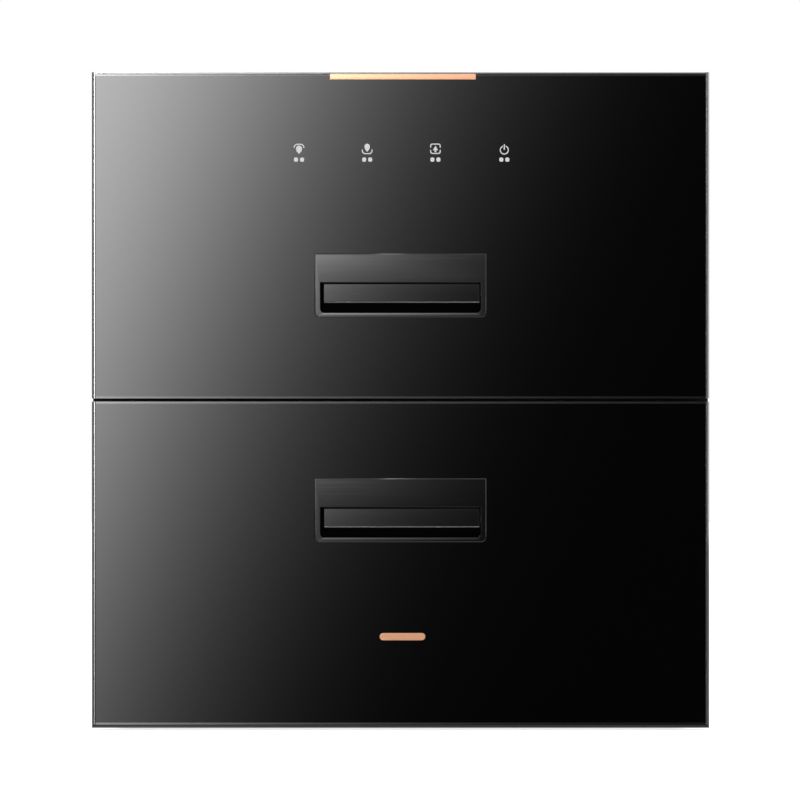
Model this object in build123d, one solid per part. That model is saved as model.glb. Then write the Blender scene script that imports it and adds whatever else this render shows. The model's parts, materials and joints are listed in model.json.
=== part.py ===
"""A built-in dish sterilizer cabinet with two drawers, in millimetres.

The frame is +Z up with the drawer fronts facing -Y. The origin is on the floor, under the middle of the
cabinet's bounding box. Every sub-part is written to parts/NAME.step as one or more separate solids.
"""

from build123d import *
import math
import os

# ---------------------------------------------------------------- the front, as it shows
front_width = 596.0  # over the side trims
upper_front_height = 315.0
lower_front_height = 312.0
drawer_gap = 3.0  # dark line between the two drawer fronts
base_trim_height = 2.5
base_trim_gap = 0.5  # running gap between the base trim and the lower front
front_floor_gap = 2.0  # floor to the underside of the front
glass_thickness = 5.0
glass_bevel_width = 2.0
glass_bevel_depth = 0.9
trim_thickness = 3.4  # side trims, seen from the front
top_trim_thickness = 1.3
trim_edge = 1.4  # chamfer along the side trims' outer front edges
base_trim_edge = 0.6
edge_fit = 0.2  # gap between the glass or pan and the trims round it

# ---------------------------------------------------------------- the body behind it
front_overlap = 20.0  # front beyond the body at each side
front_rise = 19.0  # front above the top of the body
foot_height = 8.0
foot_radius = 16.0
foot_edge = 2.0
foot_inset = 62.0
base_space = 18.0  # body's underside to the lower chamber's floor
top_space = 18.0  # upper chamber's ceiling to the body's top
side_space = 18.0  # chamber wall to the body's side
divider_space = 29.0  # between the two chambers
chamber_depth = 366.0
rear_space = 52.0  # chamber's back wall to the back panel's outer face
body_sheet = 0.8
liner_sheet = 0.7
frame_sheet = 1.5
frame_inset = 0.5  # front frame's edge inside the front's edge
liner_flange = 8.0
wrap_corner_radius = 4.0
wrap_flange = 14.0
pan_flange = 16.0  # upturned edge of the base pan at the sides and back
sheet_fit = 0.2
insulation_fit = 0.3
insulation_setback = 20.0
frame_hole_radius = 2.5
frame_hole_edge = 11.5  # screw hole centre from the frame's side edge
frame_hole_low = 100.0  # lower screw holes above the body's underside
frame_hole_rise = 400.0  # lower to upper screw holes

# ---------------------------------------------------------------- drawer fronts behind the glass
pan_depth = 20.0
pan_sheet = 1.2
plateau_height = 4.0  # raised middle of the pan's back, inside the seal
plateau_inset = 9.0
seal_thickness = 6.0
seal_width = 10.0
seal_inset = 1.0  # seal's inner edge outside the chamber opening
seal_gap = 0.3  # seal to front frame with the drawer shut
seal_corner_radius = 10.0
seal_lip_radius = 2.0

# ---------------------------------------------------------------- handles
upper_handle_drop = 175.0  # bezel's top edge below the front's top edge
lower_handle_drop = 74.0
bezel_width = 166.0
bezel_height = 62.0
bezel_proud = 1.5
bezel_chamfer = 1.0
bezel_corner_radius = 5.0
bezel_band = 1.0  # thickness of the bezel's top band behind the glass face
pocket_width = 155.0
pocket_height = 29.4
pocket_bottom_margin = 4.7
pocket_corner_radius = 4.0
pocket_depth = 20.5
pocket_wall = 1.5
pocket_headroom = 8.5  # pocket's ceiling above the opening's top edge
cutout_fit = 0.3
flap_width = 150.0
flap_height = 18.7
flap_gap = 1.5  # dark line between the bezel's band and the flap
flap_top_setback = 3.6  # flap's face behind the bezel's face at its top edge
flap_foot_setback = 1.2  # and at its lower rim
flap_rim_radius = 2.2
flap_neck = 3.4
flap_barrel_radius = 2.5
flap_pivot_setback = 5.5
flap_pivot_rise = 3.5  # pivot above the opening's top edge
pivot_pin_radius = 1.5
pivot_clearance = 0.05
flap_spring_radius = 2.9
flap_spring_wire = 0.8

# ---------------------------------------------------------------- trim on the fronts
copper_strip_length = 141.0
copper_strip_height = 5.6
copper_strip_side = 2.2  # strip's middle from the front's middle
copper_strip_proud = 0.8
ornament_edge = 0.25  # chamfer round the copper strip and the badge bar
badge_length = 44.0
badge_height = 7.0
badge_proud = 0.8
badge_side = 1.9  # badge's middle from the front's middle
badge_rise = 85.0  # badge's middle above the lower front's bottom edge
key_pitch = 66.0
key_drop = 79.0  # touch keys' middle below the upper front's top edge
key_count = 4
touch_board_height = 36.0
touch_board_margin = 28.0
touch_board_thickness = 1.6
key_spring_length = 5.0
key_spring_radius = 5.0
key_spring_wall = 1.0
contact_gap = 0.1

# ---------------------------------------------------------------- runners
runner_length = 340.0
runner_setback = 4.0  # runner's front end behind the body's front edge
runner_height = 45.0
runner_width = 12.7
runner_sheet = 1.2
race_gap = 3.2  # between the flanges, where the balls roll
ball_radius = 1.5
ball_pitch = 15.0
ball_count = 8
cage_strip_width = 4.0
cage_strip_thickness = 0.8
drawer_travel = 320.0

# ---------------------------------------------------------------- inside the drawers
carrier_rise = 17.0  # carrier's underside above the chamber floor
carrier_height = 50.0
carrier_sheet = 1.2
carrier_flange = 14.0
carrier_length = 322.0
carrier_rear_height = 30.0
carrier_bracket = 20.0
tray_depth = 11.0
tray_sheet = 1.0
tray_inset = 16.0  # tray's hollow inside its rim's edge
tray_corner_radius = 8.0
tray_fit = 0.6
rim_wire_radius = 2.5
mesh_wire_radius = 1.5
wire_weld = 0.6  # how far the guards' crossing wires are sunk into each other
wire_fit = 0.05  # between wires that are spot-welded where they cross
basket_inset = 3.0  # basket's side inside the carrier
floor_wire_pitch = 22.0
wall_wire_pitch = 34.0
basket_wall_height = 105.0
rack_wall_height = 62.0
rack_floor_pitch = 50.0
divider_pitch = 30.0
divider_count = 13
divider_margin = 16.0  # first divider from the rack's side wire
peg_height = 72.0
peg_rows = 4
peg_row_pitch = 84.0
cutlery_width = 60.0
cutlery_length = 230.0
cutlery_height = 92.0
cutlery_sheet = 1.0
cutlery_margin = 6.0
cutlery_slots = 12
cutlery_slot_width = 6.0
cutlery_slot_margin = 16.0

# ---------------------------------------------------------------- heating, lamp and fan
heater_tube_radius = 5.0
heater_tube_length = 400.0
heater_tube_pitch = 84.0
heater_rise = 150.0  # middle between the tubes above the lower chamber's floor
heater_setback = 6.0  # tube's axis behind the reflector's front plane
trough_radius = 20.0
reflector_sheet = 1.0
reflector_margin = 12.0
holder_width = 14.0
holder_height = 26.0
holder_grip = 8.0  # length of a tube end inside its holder
holder_clearance = 0.1
holder_corner_radius = 4.0
guard_wire_radius = 1.5
guard_standoff = 7.0
guard_wire_pitch = 14.0
guard_margin = 10.0
lamp_radius = 8.0
lamp_length = 290.0
lamp_drop = 46.0  # lamp's axis below the upper chamber's ceiling
lamp_standoff = 20.0
lamp_holder_width = 12.0
lamp_holder_height = 30.0
lamp_holder_nose = 3.0  # holder in front of the lamp's tube
lamp_holder_corner_radius = 7.0
fan_rise = 128.0  # fan's axis above the upper chamber's floor
fan_size = 92.0
fan_depth = 25.4
fan_bore_radius = 43.0
fan_tip_gap = 1.5
fan_hub_radius = 17.0
fan_hub_edge = 3.0
fan_corner_radius = 4.5
fan_end_gap = 1.0  # rotor to the housing's front plane and to its base
fan_blades = 7
fan_blade_thickness = 1.6
fan_blade_pitch = 38.0
fan_shaft_radius = 2.0
fan_shaft_clearance = 0.05
fan_strut_width = 4.0
fan_base_thickness = 4.0
heater_block_depth = 16.0
heater_block_width = 90.0
heater_block_height = 64.0
heater_fin_pitch = 5.0
heater_fin_thickness = 1.0
outlet_slots = 5
outlet_slot_height = 6.0
outlet_slot_pitch = 12.0
outlet_slot_length = 84.0

# ---------------------------------------------------------------- electrics and fasteners
board_box_width = 160.0
board_box_height = 120.0
board_box_depth = 34.0
board_box_wall = 2.0
board_box_inset = 34.0  # box from the body's side
board_box_rise = 60.0
board_standoff = 5.0
board_thickness = 1.6
board_margin = 4.0
board_post_radius = 3.0
board_post_inset = 6.0
board_part_gap = 9.0  # between the parts on the board
transformer_width = 42.0
transformer_height = 34.0
transformer_depth = 22.0
relay_width = 18.0
relay_height = 22.0
relay_depth = 15.0
relay_count = 3
capacitor_radius = 9.0
capacitor_length = 20.0
terminal_width = 74.0
terminal_height = 12.0
terminal_depth = 12.0
sensor_radius = 2.5
sensor_length = 34.0
sensor_inset = 110.0  # probes from the chamber's side wall
sensor_drop = 50.0  # lower probe below the lower tube
thermostat_radius = 8.0
thermostat_depth = 8.0
switch_height = 30.0
switch_width = 12.0
switch_depth = 8.0
switch_rise = 90.0
gland_nose = 8.0  # rearmost piece, so it ends the overall depth
gland_bore_radius = 3.9
gland_body_radius = 8.0
gland_flange_radius = 12.0
gland_flange_thickness = 3.0
gland_flange_edge = 1.4
gland_nose_radius = 6.5
gland_nut_radius = 12.0
gland_nut_thickness = 4.0
gland_tail = 6.0
gland_inset = 73.0  # gland from the body's side
gland_rise = 60.0
louvre_length = 62.0
louvre_pitch = 11.0
louvre_rows = 9
louvre_columns = 2
louvre_spacing = 74.0
louvre_slot_height = 4.5
louvre_hood_depth = 4.0
louvre_hood_height = 7.0
louvre_sheet = 0.8
screw_head_radius = 4.0
screw_head_height = 2.2
screw_head_edge = 1.1
screw_shank_radius = 1.8
screw_shank_length = 6.0
screw_hole_radius = 1.95
screw_edge = 7.0  # screw from the back panel's edge

# ---------------------------------------------------------------- stations worked out from them
half_front = front_width / 2
half_body = half_front - front_overlap
half_chamber = half_body - side_space

total_depth = (bezel_proud + glass_thickness + pan_depth + seal_thickness + seal_gap + frame_sheet
               + chamber_depth + rear_space + gland_nose)
y_bezel = -total_depth / 2
y_glass = y_bezel + bezel_proud
y_pan = y_glass + glass_thickness
y_pan_back = y_pan + pan_depth
y_plateau = y_pan_back + plateau_height
y_frame = y_pan_back + seal_thickness + seal_gap
y_body = y_frame + frame_sheet
y_chamber_back = y_body + chamber_depth
y_back = y_chamber_back + rear_space
y_runner = y_body + runner_setback
y_carrier_back = y_plateau + carrier_length

z_front = front_floor_gap
z_lower_front = z_front + base_trim_height + base_trim_gap
z_lower_front_top = z_lower_front + lower_front_height
z_upper_front = z_lower_front_top + drawer_gap
z_front_top = z_upper_front + upper_front_height
z_split = (z_lower_front_top + z_upper_front) / 2
z_body = foot_height
z_body_top = z_front_top - front_rise
z_lower_floor = z_body + base_space
z_lower_ceiling = z_split - divider_space / 2
z_upper_floor = z_split + divider_space / 2
z_upper_ceiling = z_body_top - top_space
z_fan = z_upper_floor + fan_rise
z_gland = z_body + gland_rise
gland_side = half_body - gland_inset

carrier_outside = half_chamber - runner_width
basket_outside = carrier_outside - carrier_sheet - basket_inset
basket_front = y_plateau + carrier_sheet + basket_inset
basket_back = y_carrier_back - carrier_sheet - basket_inset


# ---------------------------------------------------------------- helpers
def block(x, y, z):
    """A box from its (low, high) pair along each axis."""
    size = Box(x[1] - x[0], y[1] - y[0], z[1] - z[0])
    return Pos(sum(x) / 2, sum(y) / 2, sum(z) / 2) * size


def around(middle, length):
    """The (low, high) pair of a length centred on a place."""
    return (middle - length / 2, middle + length / 2)


def rod(start, end, radius):
    """A round bar between two points."""
    line = Vector(*end) - Vector(*start)
    bar = Cylinder(radius, line.length, align=(Align.CENTER, Align.CENTER, Align.MIN))
    return Plane(origin=start, z_dir=line) * bar


def spread(low, high, pitch):
    """Places from low to high, evenly spaced at about the pitch, both ends included."""
    steps = max(1, round((high - low) / pitch))
    return [low + (high - low) * i / steps for i in range(steps + 1)]


def joined(pieces):
    """One solid from pieces that run into each other."""
    return Part() + pieces


def both_sides(piece):
    """A piece and its mirror image across the middle of the cabinet."""
    return [piece, piece.mirror(Plane.YZ)]


def write(name, pieces):
    """Writes one node. Its pieces stay separate solids."""
    solids = [solid for piece in pieces for solid in piece.solids()]
    export_step(Compound(children=solids), f"parts/{name}.step")


# ---------------------------------------------------------------- casing
def back_screw_places():
    """X and Z of the screws round the back panel's edge."""
    side = half_body - body_sheet - screw_edge
    low, high = z_body + screw_edge, z_body_top - body_sheet - screw_edge
    middle = (low + high) / 2
    rows = [(x, z) for z in (low, high) for x in (-side, 0, side)]
    return rows + [(x, middle) for x in (-side, side)]


def back_screw_holes():
    return [rod((x, y_back - pan_flange, z), (x, y_back + 1, z), screw_hole_radius)
            for x, z in back_screw_places()]


def outer_wrap():
    """The sheet that makes the two sides and the top, with turned-in edges behind for the back panel."""
    outside = block((-half_body, half_body), (y_body, y_back), (z_body, z_body_top))
    inside = block((-half_body + body_sheet, half_body - body_sheet), (y_body - 1, y_back + 1),
                   (z_body - 1, z_body_top - body_sheet))
    outside = fillet(outside.edges().filter_by(Axis.Y).group_by(Axis.Z)[-1], wrap_corner_radius)
    inside = fillet(inside.edges().filter_by(Axis.Y).group_by(Axis.Z)[-1],
                    wrap_corner_radius - body_sheet)
    ledge = block((-half_body, half_body), (y_back - 2 * body_sheet, y_back - body_sheet),
                  (z_body + pan_flange + 2 * body_sheet, z_body_top))
    window = block((-half_body + wrap_flange, half_body - wrap_flange), (y_body, y_back),
                   (z_body, z_body_top - wrap_flange))
    ledge = (ledge & outside) - window
    return [(outside - inside) + ledge - back_screw_holes()]


def base_pan():
    """The floor of the body, a tray with upturned edges."""
    side = half_body - body_sheet - sheet_fit
    outside = block((-side, side), (y_body, y_back - body_sheet), (z_body, z_body + pan_flange))
    inside = block((-side + body_sheet, side - body_sheet), (y_body + body_sheet, y_back - 2 * body_sheet),
                   (z_body + body_sheet, z_body + pan_flange + 1))
    under_liner = block((-side - 1, side + 1), (y_body - 1, y_body + 2 * body_sheet),
                        (z_lower_floor - liner_flange - sheet_fit, z_body + pan_flange + 1))
    return [outside - inside - under_liner - back_screw_holes()]


def louvre_places():
    """X and Z of each louvre's lower middle, behind the fan."""
    top = z_fan + louvre_pitch * (louvre_rows - 1) / 2
    columns = [louvre_spacing * (i - (louvre_columns - 1) / 2) for i in range(louvre_columns)]
    return [(x, top - louvre_pitch * row) for row in range(louvre_rows) for x in columns]


def wedge(x, z, length, depth, height):
    """A louvre's hood: a three-cornered bar against the back panel, open towards the floor."""
    outline = Polyline((y_back, z), (y_back + depth, z), (y_back, z + height), close=True)
    face = make_face(Plane.YZ * outline)
    return Pos(x - length / 2, 0, 0) * extrude(face, amount=length, dir=(1, 0, 0))


def back_panel():
    """The back cover, with two columns of louvres and the cord gland's hole."""
    side = half_body - body_sheet - sheet_fit
    sheet = block((-side, side), (y_back - body_sheet, y_back), (z_body, z_body_top - body_sheet - sheet_fit))
    sheet = fillet(sheet.edges().filter_by(Axis.Y).group_by(Axis.Z)[-1], wrap_corner_radius - body_sheet)
    hoods = [wedge(x, z, louvre_length, louvre_hood_depth, louvre_hood_height) for x, z in louvre_places()]
    hollows = [wedge(x, z - louvre_sheet, louvre_length - 2 * louvre_sheet, louvre_hood_depth - louvre_sheet,
                     louvre_hood_height - louvre_sheet) for x, z in louvre_places()]
    slots = [block(around(x, louvre_length - 2 * louvre_sheet), (y_back - 2, y_back + louvre_sheet / 2),
                   (z, z + louvre_slot_height)) for x, z in louvre_places()]
    gland = rod((gland_side, y_back - 2, z_gland), (gland_side, y_back + 1, z_gland),
                gland_body_radius + sheet_fit)
    return [sheet + hoods - hollows - slots - back_screw_holes() - gland]


def case_screws():
    """The screws of the back panel, heads outside."""
    pieces = []
    for x, z in back_screw_places():
        head = rod((x, y_back, z), (x, y_back + screw_head_height, z), screw_head_radius)
        head = fillet(head.edges().group_by(Axis.Y)[-1], screw_head_edge)
        shank = rod((x, y_back - screw_shank_length, z), (x, y_back, z), screw_shank_radius)
        pieces.append(joined([head, shank]))
    return pieces


def front_frame():
    """The sheet behind the drawer fronts, which the seals meet, with holes for the fitting screws."""
    side, low, high = half_front - frame_inset, z_front, z_front_top - frame_inset
    sheet = block((-side, side), (y_frame, y_body), (low, high))
    mouths = [block((-half_chamber, half_chamber), (y_frame - 1, y_body + 1), span)
              for span in ((z_lower_floor, z_lower_ceiling), (z_upper_floor, z_upper_ceiling))]
    hole_low = z_body + frame_hole_low
    holes = [rod((x, y_frame - 1, z), (x, y_body + 1, z), frame_hole_radius)
             for x in (-side + frame_hole_edge, side - frame_hole_edge)
             for z in (hole_low, hole_low + frame_hole_rise)]
    return [sheet - mouths - holes]


def base_trim():
    """The strip under the lower drawer front, carried by the front frame."""
    strip = block((-half_front, half_front), (y_glass, y_frame), (z_front, z_front + base_trim_height))
    edges = strip.edges().filter_by(Axis.X).group_by(Axis.Y)[0]
    return [chamfer(edges, base_trim_edge)]


def feet():
    """Four rubber feet."""
    pieces = []
    for x in (-half_body + foot_inset, half_body - foot_inset):
        for y in (y_body + foot_inset, y_back - foot_inset):
            foot = rod((x, y, 0), (x, y, foot_height), foot_radius)
            pieces.append(chamfer(foot.edges().group_by(Axis.Z)[0], foot_edge))
    return pieces


# ---------------------------------------------------------------- chambers
def liner(floor, ceiling):
    """A stainless chamber, open at the front, with a flange that meets the front frame."""
    shell = block(around(0, 2 * (half_chamber + liner_sheet)), (y_body, y_chamber_back + liner_sheet),
                  (floor - liner_sheet, ceiling + liner_sheet))
    reach = half_chamber + liner_flange
    flange = block((-reach, reach), (y_body, y_body + liner_sheet),
                   (floor - liner_flange, ceiling + liner_flange))
    hollow = block((-half_chamber, half_chamber), (y_body - 1, y_chamber_back), (floor, ceiling))
    return shell + flange - hollow


def upper_liner():
    """The upper chamber, with the warm air's slots in its back wall."""
    first = z_fan - outlet_slot_pitch * (outlet_slots - 1) / 2
    slots = [block(around(0, outlet_slot_length), (y_chamber_back - 1, y_chamber_back + 2),
                   around(first + outlet_slot_pitch * i, outlet_slot_height)) for i in range(outlet_slots)]
    return [liner(z_upper_floor, z_upper_ceiling) - slots]


def lower_liner():
    return [liner(z_lower_floor, z_lower_ceiling)]


def insulation_boards():
    """Glass-wool boards over and beside the hot lower chamber."""
    near, far = half_chamber + liner_sheet + insulation_fit, half_body - body_sheet - insulation_fit
    depth = (y_body + insulation_setback, y_chamber_back)
    side = block((near, far), depth, (z_lower_floor, z_lower_ceiling))
    top = block((-half_chamber, half_chamber), depth,
                (z_lower_ceiling + liner_sheet + insulation_fit, z_upper_floor - liner_sheet - insulation_fit))
    return both_sides(side) + [top]


# ---------------------------------------------------------------- runners
def runner_middle_height(floor):
    return floor + carrier_rise + carrier_height / 2


def channel(back, front, half_height, middle):
    """A runner member's C section: its web is at x = back, and its flanges reach to x = front."""
    web = runner_sheet if front > back else -runner_sheet
    length = (y_runner, y_runner + runner_length)
    plate = block(sorted((back, back + web)), length, around(middle, 2 * half_height))
    flanges = [block(sorted((back, front)), length, sorted((middle + s * half_height,
                                                            middle + s * (half_height - runner_sheet))))
               for s in (-1, 1)]
    return joined([plate] + flanges)


outer_half = runner_height / 2
middle_half = outer_half - runner_sheet - race_gap
inner_half = middle_half - runner_sheet - race_gap


def runner_outers(floor):
    """The pair fixed to the chamber's side walls."""
    reach = half_chamber - 0.8 * runner_width
    return both_sides(channel(half_chamber, reach, outer_half, runner_middle_height(floor)))


def runner_middles(floor):
    """The pair between, which travels half as far as the drawer."""
    back = half_chamber - runner_sheet - race_gap / 2
    reach = half_chamber - runner_width + runner_sheet + 0.5
    return both_sides(channel(back, reach, middle_half, runner_middle_height(floor)))


def runner_inners(floor):
    """The pair fixed to the drawer's carrier."""
    back = half_chamber - runner_width
    reach = half_chamber - 2 * runner_sheet - race_gap / 2 - 0.8
    return both_sides(channel(back, reach, inner_half, runner_middle_height(floor)))


def ball_cages(floor, half_height, x):
    """Strips of caged balls above and below a member of that half height."""
    middle = runner_middle_height(floor)
    length = ball_pitch * ball_count
    start = y_runner + (runner_length - length) / 2
    strips = []
    for side in (-1, 1):
        z = middle + side * (half_height + race_gap / 2)
        strip = block(around(x, cage_strip_width), (start, start + length), around(z, cage_strip_thickness))
        balls = [Pos(x, start + ball_pitch * (i + 0.5), z) * Sphere(ball_radius) for i in range(ball_count)]
        strips += both_sides(joined([strip] + balls))
    return strips


cage_x = half_chamber - runner_width / 2


# ---------------------------------------------------------------- drawer fronts
def glass_plate(low, high, handle_top):
    """A toughened glass front, bevelled along its top and bottom, with the handle's cut-out."""
    side = half_front - trim_thickness - edge_fit
    width, height = 2 * side, high - low
    middle = (low + high) / 2

    def outline(y, inset):
        plane = Plane(origin=(0, y, middle), x_dir=(1, 0, 0), z_dir=(0, -1, 0))
        return plane * Rectangle(width, height - 2 * inset)

    bevel = loft([outline(y_glass, glass_bevel_width), outline(y_glass + glass_bevel_depth, 0)], ruled=True)
    body = block((-side, side), (y_glass + glass_bevel_depth, y_pan), (low, high))
    return [joined([bevel, body]) - handle_cutout(handle_top)]


def trim_bar(x, z):
    """A bar of the aluminium edging, as deep as the drawer front."""
    return block(x, (y_glass, y_pan_back), z)


def side_trims(low, high):
    pieces = []
    for bar in both_sides(trim_bar((half_front - trim_thickness, half_front), (low, high))):
        outer = bar.edges().filter_by(Axis.Z).group_by(Axis.Y)[0].sort_by(lambda e: -abs(e.center().X))[0]
        pieces.append(chamfer(outer, trim_edge))
    return pieces


def upper_trim_frame():
    """The edging of the upper front: two sides and the top, in one."""
    sides = side_trims(z_upper_front, z_front_top)
    top = trim_bar((-half_front + trim_thickness, half_front - trim_thickness),
                   (z_front_top - top_trim_thickness, z_front_top))
    return [joined(sides + [top])]


def lower_side_trims():
    return side_trims(z_lower_front, z_lower_front_top)


def door_pan(low, high, floor, ceiling, handle_top):
    """The pressed pan behind the glass, with a raised middle inside the seal."""
    side = half_front - trim_thickness - edge_fit
    pan = block((-side, side), (y_pan, y_pan_back), (low, high))
    hollow = block((-side + pan_sheet, side - pan_sheet), (y_pan - 1, y_pan_back - pan_sheet),
                   (low + pan_sheet, high - pan_sheet))
    reach = half_chamber - plateau_inset
    bottom, top = floor + plateau_inset, ceiling - plateau_inset
    plateau = block((-reach, reach), (y_pan_back - pan_sheet, y_plateau), (bottom, top))
    dish = block((-reach + pan_sheet, reach - pan_sheet), (y_pan_back - 2 * pan_sheet, y_plateau - pan_sheet),
                 (bottom + pan_sheet, top - pan_sheet))
    return [pan + plateau - hollow - dish]


def seal(floor, ceiling):
    """The magnetic gasket on the pan's back, round the chamber's mouth."""
    inner = half_chamber + seal_inset
    outer = inner + seal_width
    depth = (y_pan_back, y_pan_back + seal_thickness)
    ring = block((-outer, outer), depth, (floor - seal_inset - seal_width, ceiling + seal_inset + seal_width))
    ring = fillet(ring.edges().filter_by(Axis.Y), seal_corner_radius)
    mouth = block((-inner, inner), (y_pan_back - 1, y_pan_back + seal_thickness + 1),
                  (floor - seal_inset, ceiling + seal_inset))
    ring = ring - mouth
    lip = ring.faces().sort_by(Axis.Y)[-1].edges()
    return [fillet(lip, seal_lip_radius)]


def copper_strip():
    """The copper-coloured bar along the middle of the upper front's top edge."""
    top = z_front_top - top_trim_thickness - edge_fit
    bar = block(around(copper_strip_side, copper_strip_length), (y_glass - copper_strip_proud, y_glass),
                (top - copper_strip_height, top))
    return [chamfer(bar.faces().sort_by(Axis.Y)[0].edges(), ornament_edge)]


def badge_bar():
    """A plain bar of the same finish on the lower front."""
    plane = Plane(origin=(badge_side, y_glass, z_lower_front + badge_rise), x_dir=(1, 0, 0), z_dir=(0, -1, 0))
    bar = extrude(plane * SlotOverall(badge_length, badge_height), amount=badge_proud)
    return [chamfer(bar.faces().sort_by(Axis.Y)[0].edges(), ornament_edge)]


def touch_board():
    """The touch control's board behind the glass, with a contact spring for each key."""
    middle = z_front_top - key_drop
    half = key_pitch * (key_count - 1) / 2 + touch_board_margin
    face = y_pan + key_spring_length
    board = block((-half, half), (face, face + touch_board_thickness), around(middle, touch_board_height))
    springs = []
    for i in range(key_count):
        x = key_pitch * (i - (key_count - 1) / 2)
        ends = [(x, y_pan + contact_gap, middle), (x, face - contact_gap, middle)]
        springs.append(rod(*ends, key_spring_radius) - rod(*ends, key_spring_radius - key_spring_wall))
    return [board] + springs


# ---------------------------------------------------------------- handles
def opening_top(handle_top):
    """Top edge of the bezel's opening."""
    return handle_top - bezel_height + pocket_bottom_margin + pocket_height


def pocket_block(handle_top, grow, depth):
    """The pocket's space behind the glass face, grown by its wall or a gap."""
    top = opening_top(handle_top)
    half = pocket_width / 2 + grow
    return block((-half, half), depth, (top - pocket_height - grow, top + pocket_headroom + grow))


def handle_cutout(handle_top):
    return pocket_block(handle_top, pocket_wall + cutout_fit, (y_glass - 1, y_pan + 1))


def pivot(handle_top):
    """Y and Z of the flap's axis."""
    return y_bezel + flap_pivot_setback, opening_top(handle_top) + flap_pivot_rise


def handle_bezel(handle_top):
    """The bezel and its pocket, one moulding. The flap's pins turn in its side walls."""
    top = opening_top(handle_top)
    half = bezel_width / 2
    plate = block((-half, half), (y_bezel, y_glass), (handle_top - bezel_height, handle_top))
    plate = fillet(plate.edges().filter_by(Axis.Y).group_by(Axis.Z)[0], bezel_corner_radius)
    plate = chamfer(plate.faces().sort_by(Axis.Y)[0].edges(), bezel_chamfer)
    cup = pocket_block(handle_top, pocket_wall, (y_glass, y_glass + pocket_depth + pocket_wall))
    mouth = block(around(0, pocket_width), (y_bezel - 1, y_glass + pocket_depth),
                  (top - pocket_height, top))
    mouth = fillet(mouth.edges().filter_by(Axis.Y).group_by(Axis.Z)[0], pocket_corner_radius)
    room = block(around(0, pocket_width), (y_glass + bezel_band, y_glass + pocket_depth),
                 (top - pocket_height / 2, top + pocket_headroom))
    y, z = pivot(handle_top)
    reach = pocket_width / 2 + pocket_wall + 1
    pin_holes = rod((-reach, y, z), (reach, y, z), pivot_pin_radius + pivot_clearance)
    return [joined([plate, cup]) - mouth - room - pin_holes]


def handle_flap(handle_top):
    """The pull flap: a barrel on the pivot, a neck, and a leaning blade with a rounded rim."""
    top = opening_top(handle_top)
    y, z = pivot(handle_top)
    brow = top - flap_gap
    rim_z = brow - flap_height + flap_rim_radius
    rim_y = y_bezel + flap_foot_setback + flap_rim_radius
    half = flap_width / 2
    front = y_bezel + flap_top_setback
    outline = Polyline((front, brow), (rim_y - flap_rim_radius, rim_z), (rim_y + flap_rim_radius, rim_z),
                       (front + flap_neck, brow), (y + flap_neck / 2, z), (y - flap_neck / 2, z),
                       close=True)
    blade = extrude(make_face(Plane.YZ * outline), amount=half, both=True)
    rim = rod((-half, rim_y, rim_z), (half, rim_y, rim_z), flap_rim_radius)
    barrel = rod((-half, y, z), (half, y, z), flap_barrel_radius)
    reach = pocket_width / 2 + pocket_wall - contact_gap
    pins = rod((-reach, y, z), (reach, y, z), pivot_pin_radius)
    return [joined([blade, rim, barrel, pins])]


def flap_springs(handle_top):
    """The return springs' coils, round the pins between the flap and the pocket's walls."""
    y, z = pivot(handle_top)
    ends = (flap_width / 2 + contact_gap, pocket_width / 2 - contact_gap)
    coil = rod((ends[0], y, z), (ends[1], y, z), flap_spring_radius)
    bore = rod((ends[0] - 1, y, z), (ends[1] + 1, y, z), flap_spring_radius - flap_spring_wire)
    return both_sides(coil - bore)


# ---------------------------------------------------------------- inside the drawers
def carrier(floor):
    """The welded frame between the runners: two sides with a ledge, a rear rail and front brackets."""
    low = floor + carrier_rise
    inside = carrier_outside - carrier_sheet
    length = (y_plateau, y_carrier_back)
    side = block((inside, carrier_outside), length, (low, low + carrier_height))
    ledge = block((carrier_outside - carrier_flange, carrier_outside), length, (low, low + carrier_sheet))
    bracket = block((carrier_outside - carrier_bracket, carrier_outside),
                    (y_plateau, y_plateau + carrier_sheet), (low, low + carrier_height))
    rail = block((-carrier_outside, carrier_outside), (y_carrier_back - carrier_sheet, y_carrier_back),
                 (low, low + carrier_rear_height))
    front_rail = block((-carrier_outside, carrier_outside), (y_plateau, y_plateau + carrier_sheet),
                       (low, low + carrier_flange))
    return [joined([p for piece in (side, ledge, bracket) for p in both_sides(piece)] + [rail, front_rail])]


def drip_tray(floor):
    """A shallow stainless tray whose rim lies on the carrier's ledges."""
    rest = floor + carrier_rise + carrier_sheet
    side = carrier_outside - carrier_sheet - tray_fit
    front, back = y_plateau + carrier_sheet + tray_fit, y_carrier_back - carrier_sheet - tray_fit
    rim = block((-side, side), (front, back), (rest, rest + tray_sheet))
    depth = (rest - tray_depth, rest + tray_sheet)
    tub = block((-side + tray_inset, side - tray_inset), (front + tray_inset, back - tray_inset), depth)
    tub = fillet(tub.edges().filter_by(Axis.Z), tray_corner_radius)
    inset = tray_inset + tray_sheet
    hollow = block((-side + inset, side - inset), (front + inset, back - inset),
                   (depth[0] + tray_sheet, depth[1] + 1))
    hollow = fillet(hollow.edges().filter_by(Axis.Z), tray_corner_radius - tray_sheet)
    return [rim + tub - hollow]


def wire_base(floor):
    """Height of the axis of the wire frame that stands on the tray's rim."""
    return floor + carrier_rise + carrier_sheet + tray_sheet + rim_wire_radius


side_wire = basket_outside - rim_wire_radius
front_wire = basket_front + rim_wire_radius
back_wire = basket_back - rim_wire_radius


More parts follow.
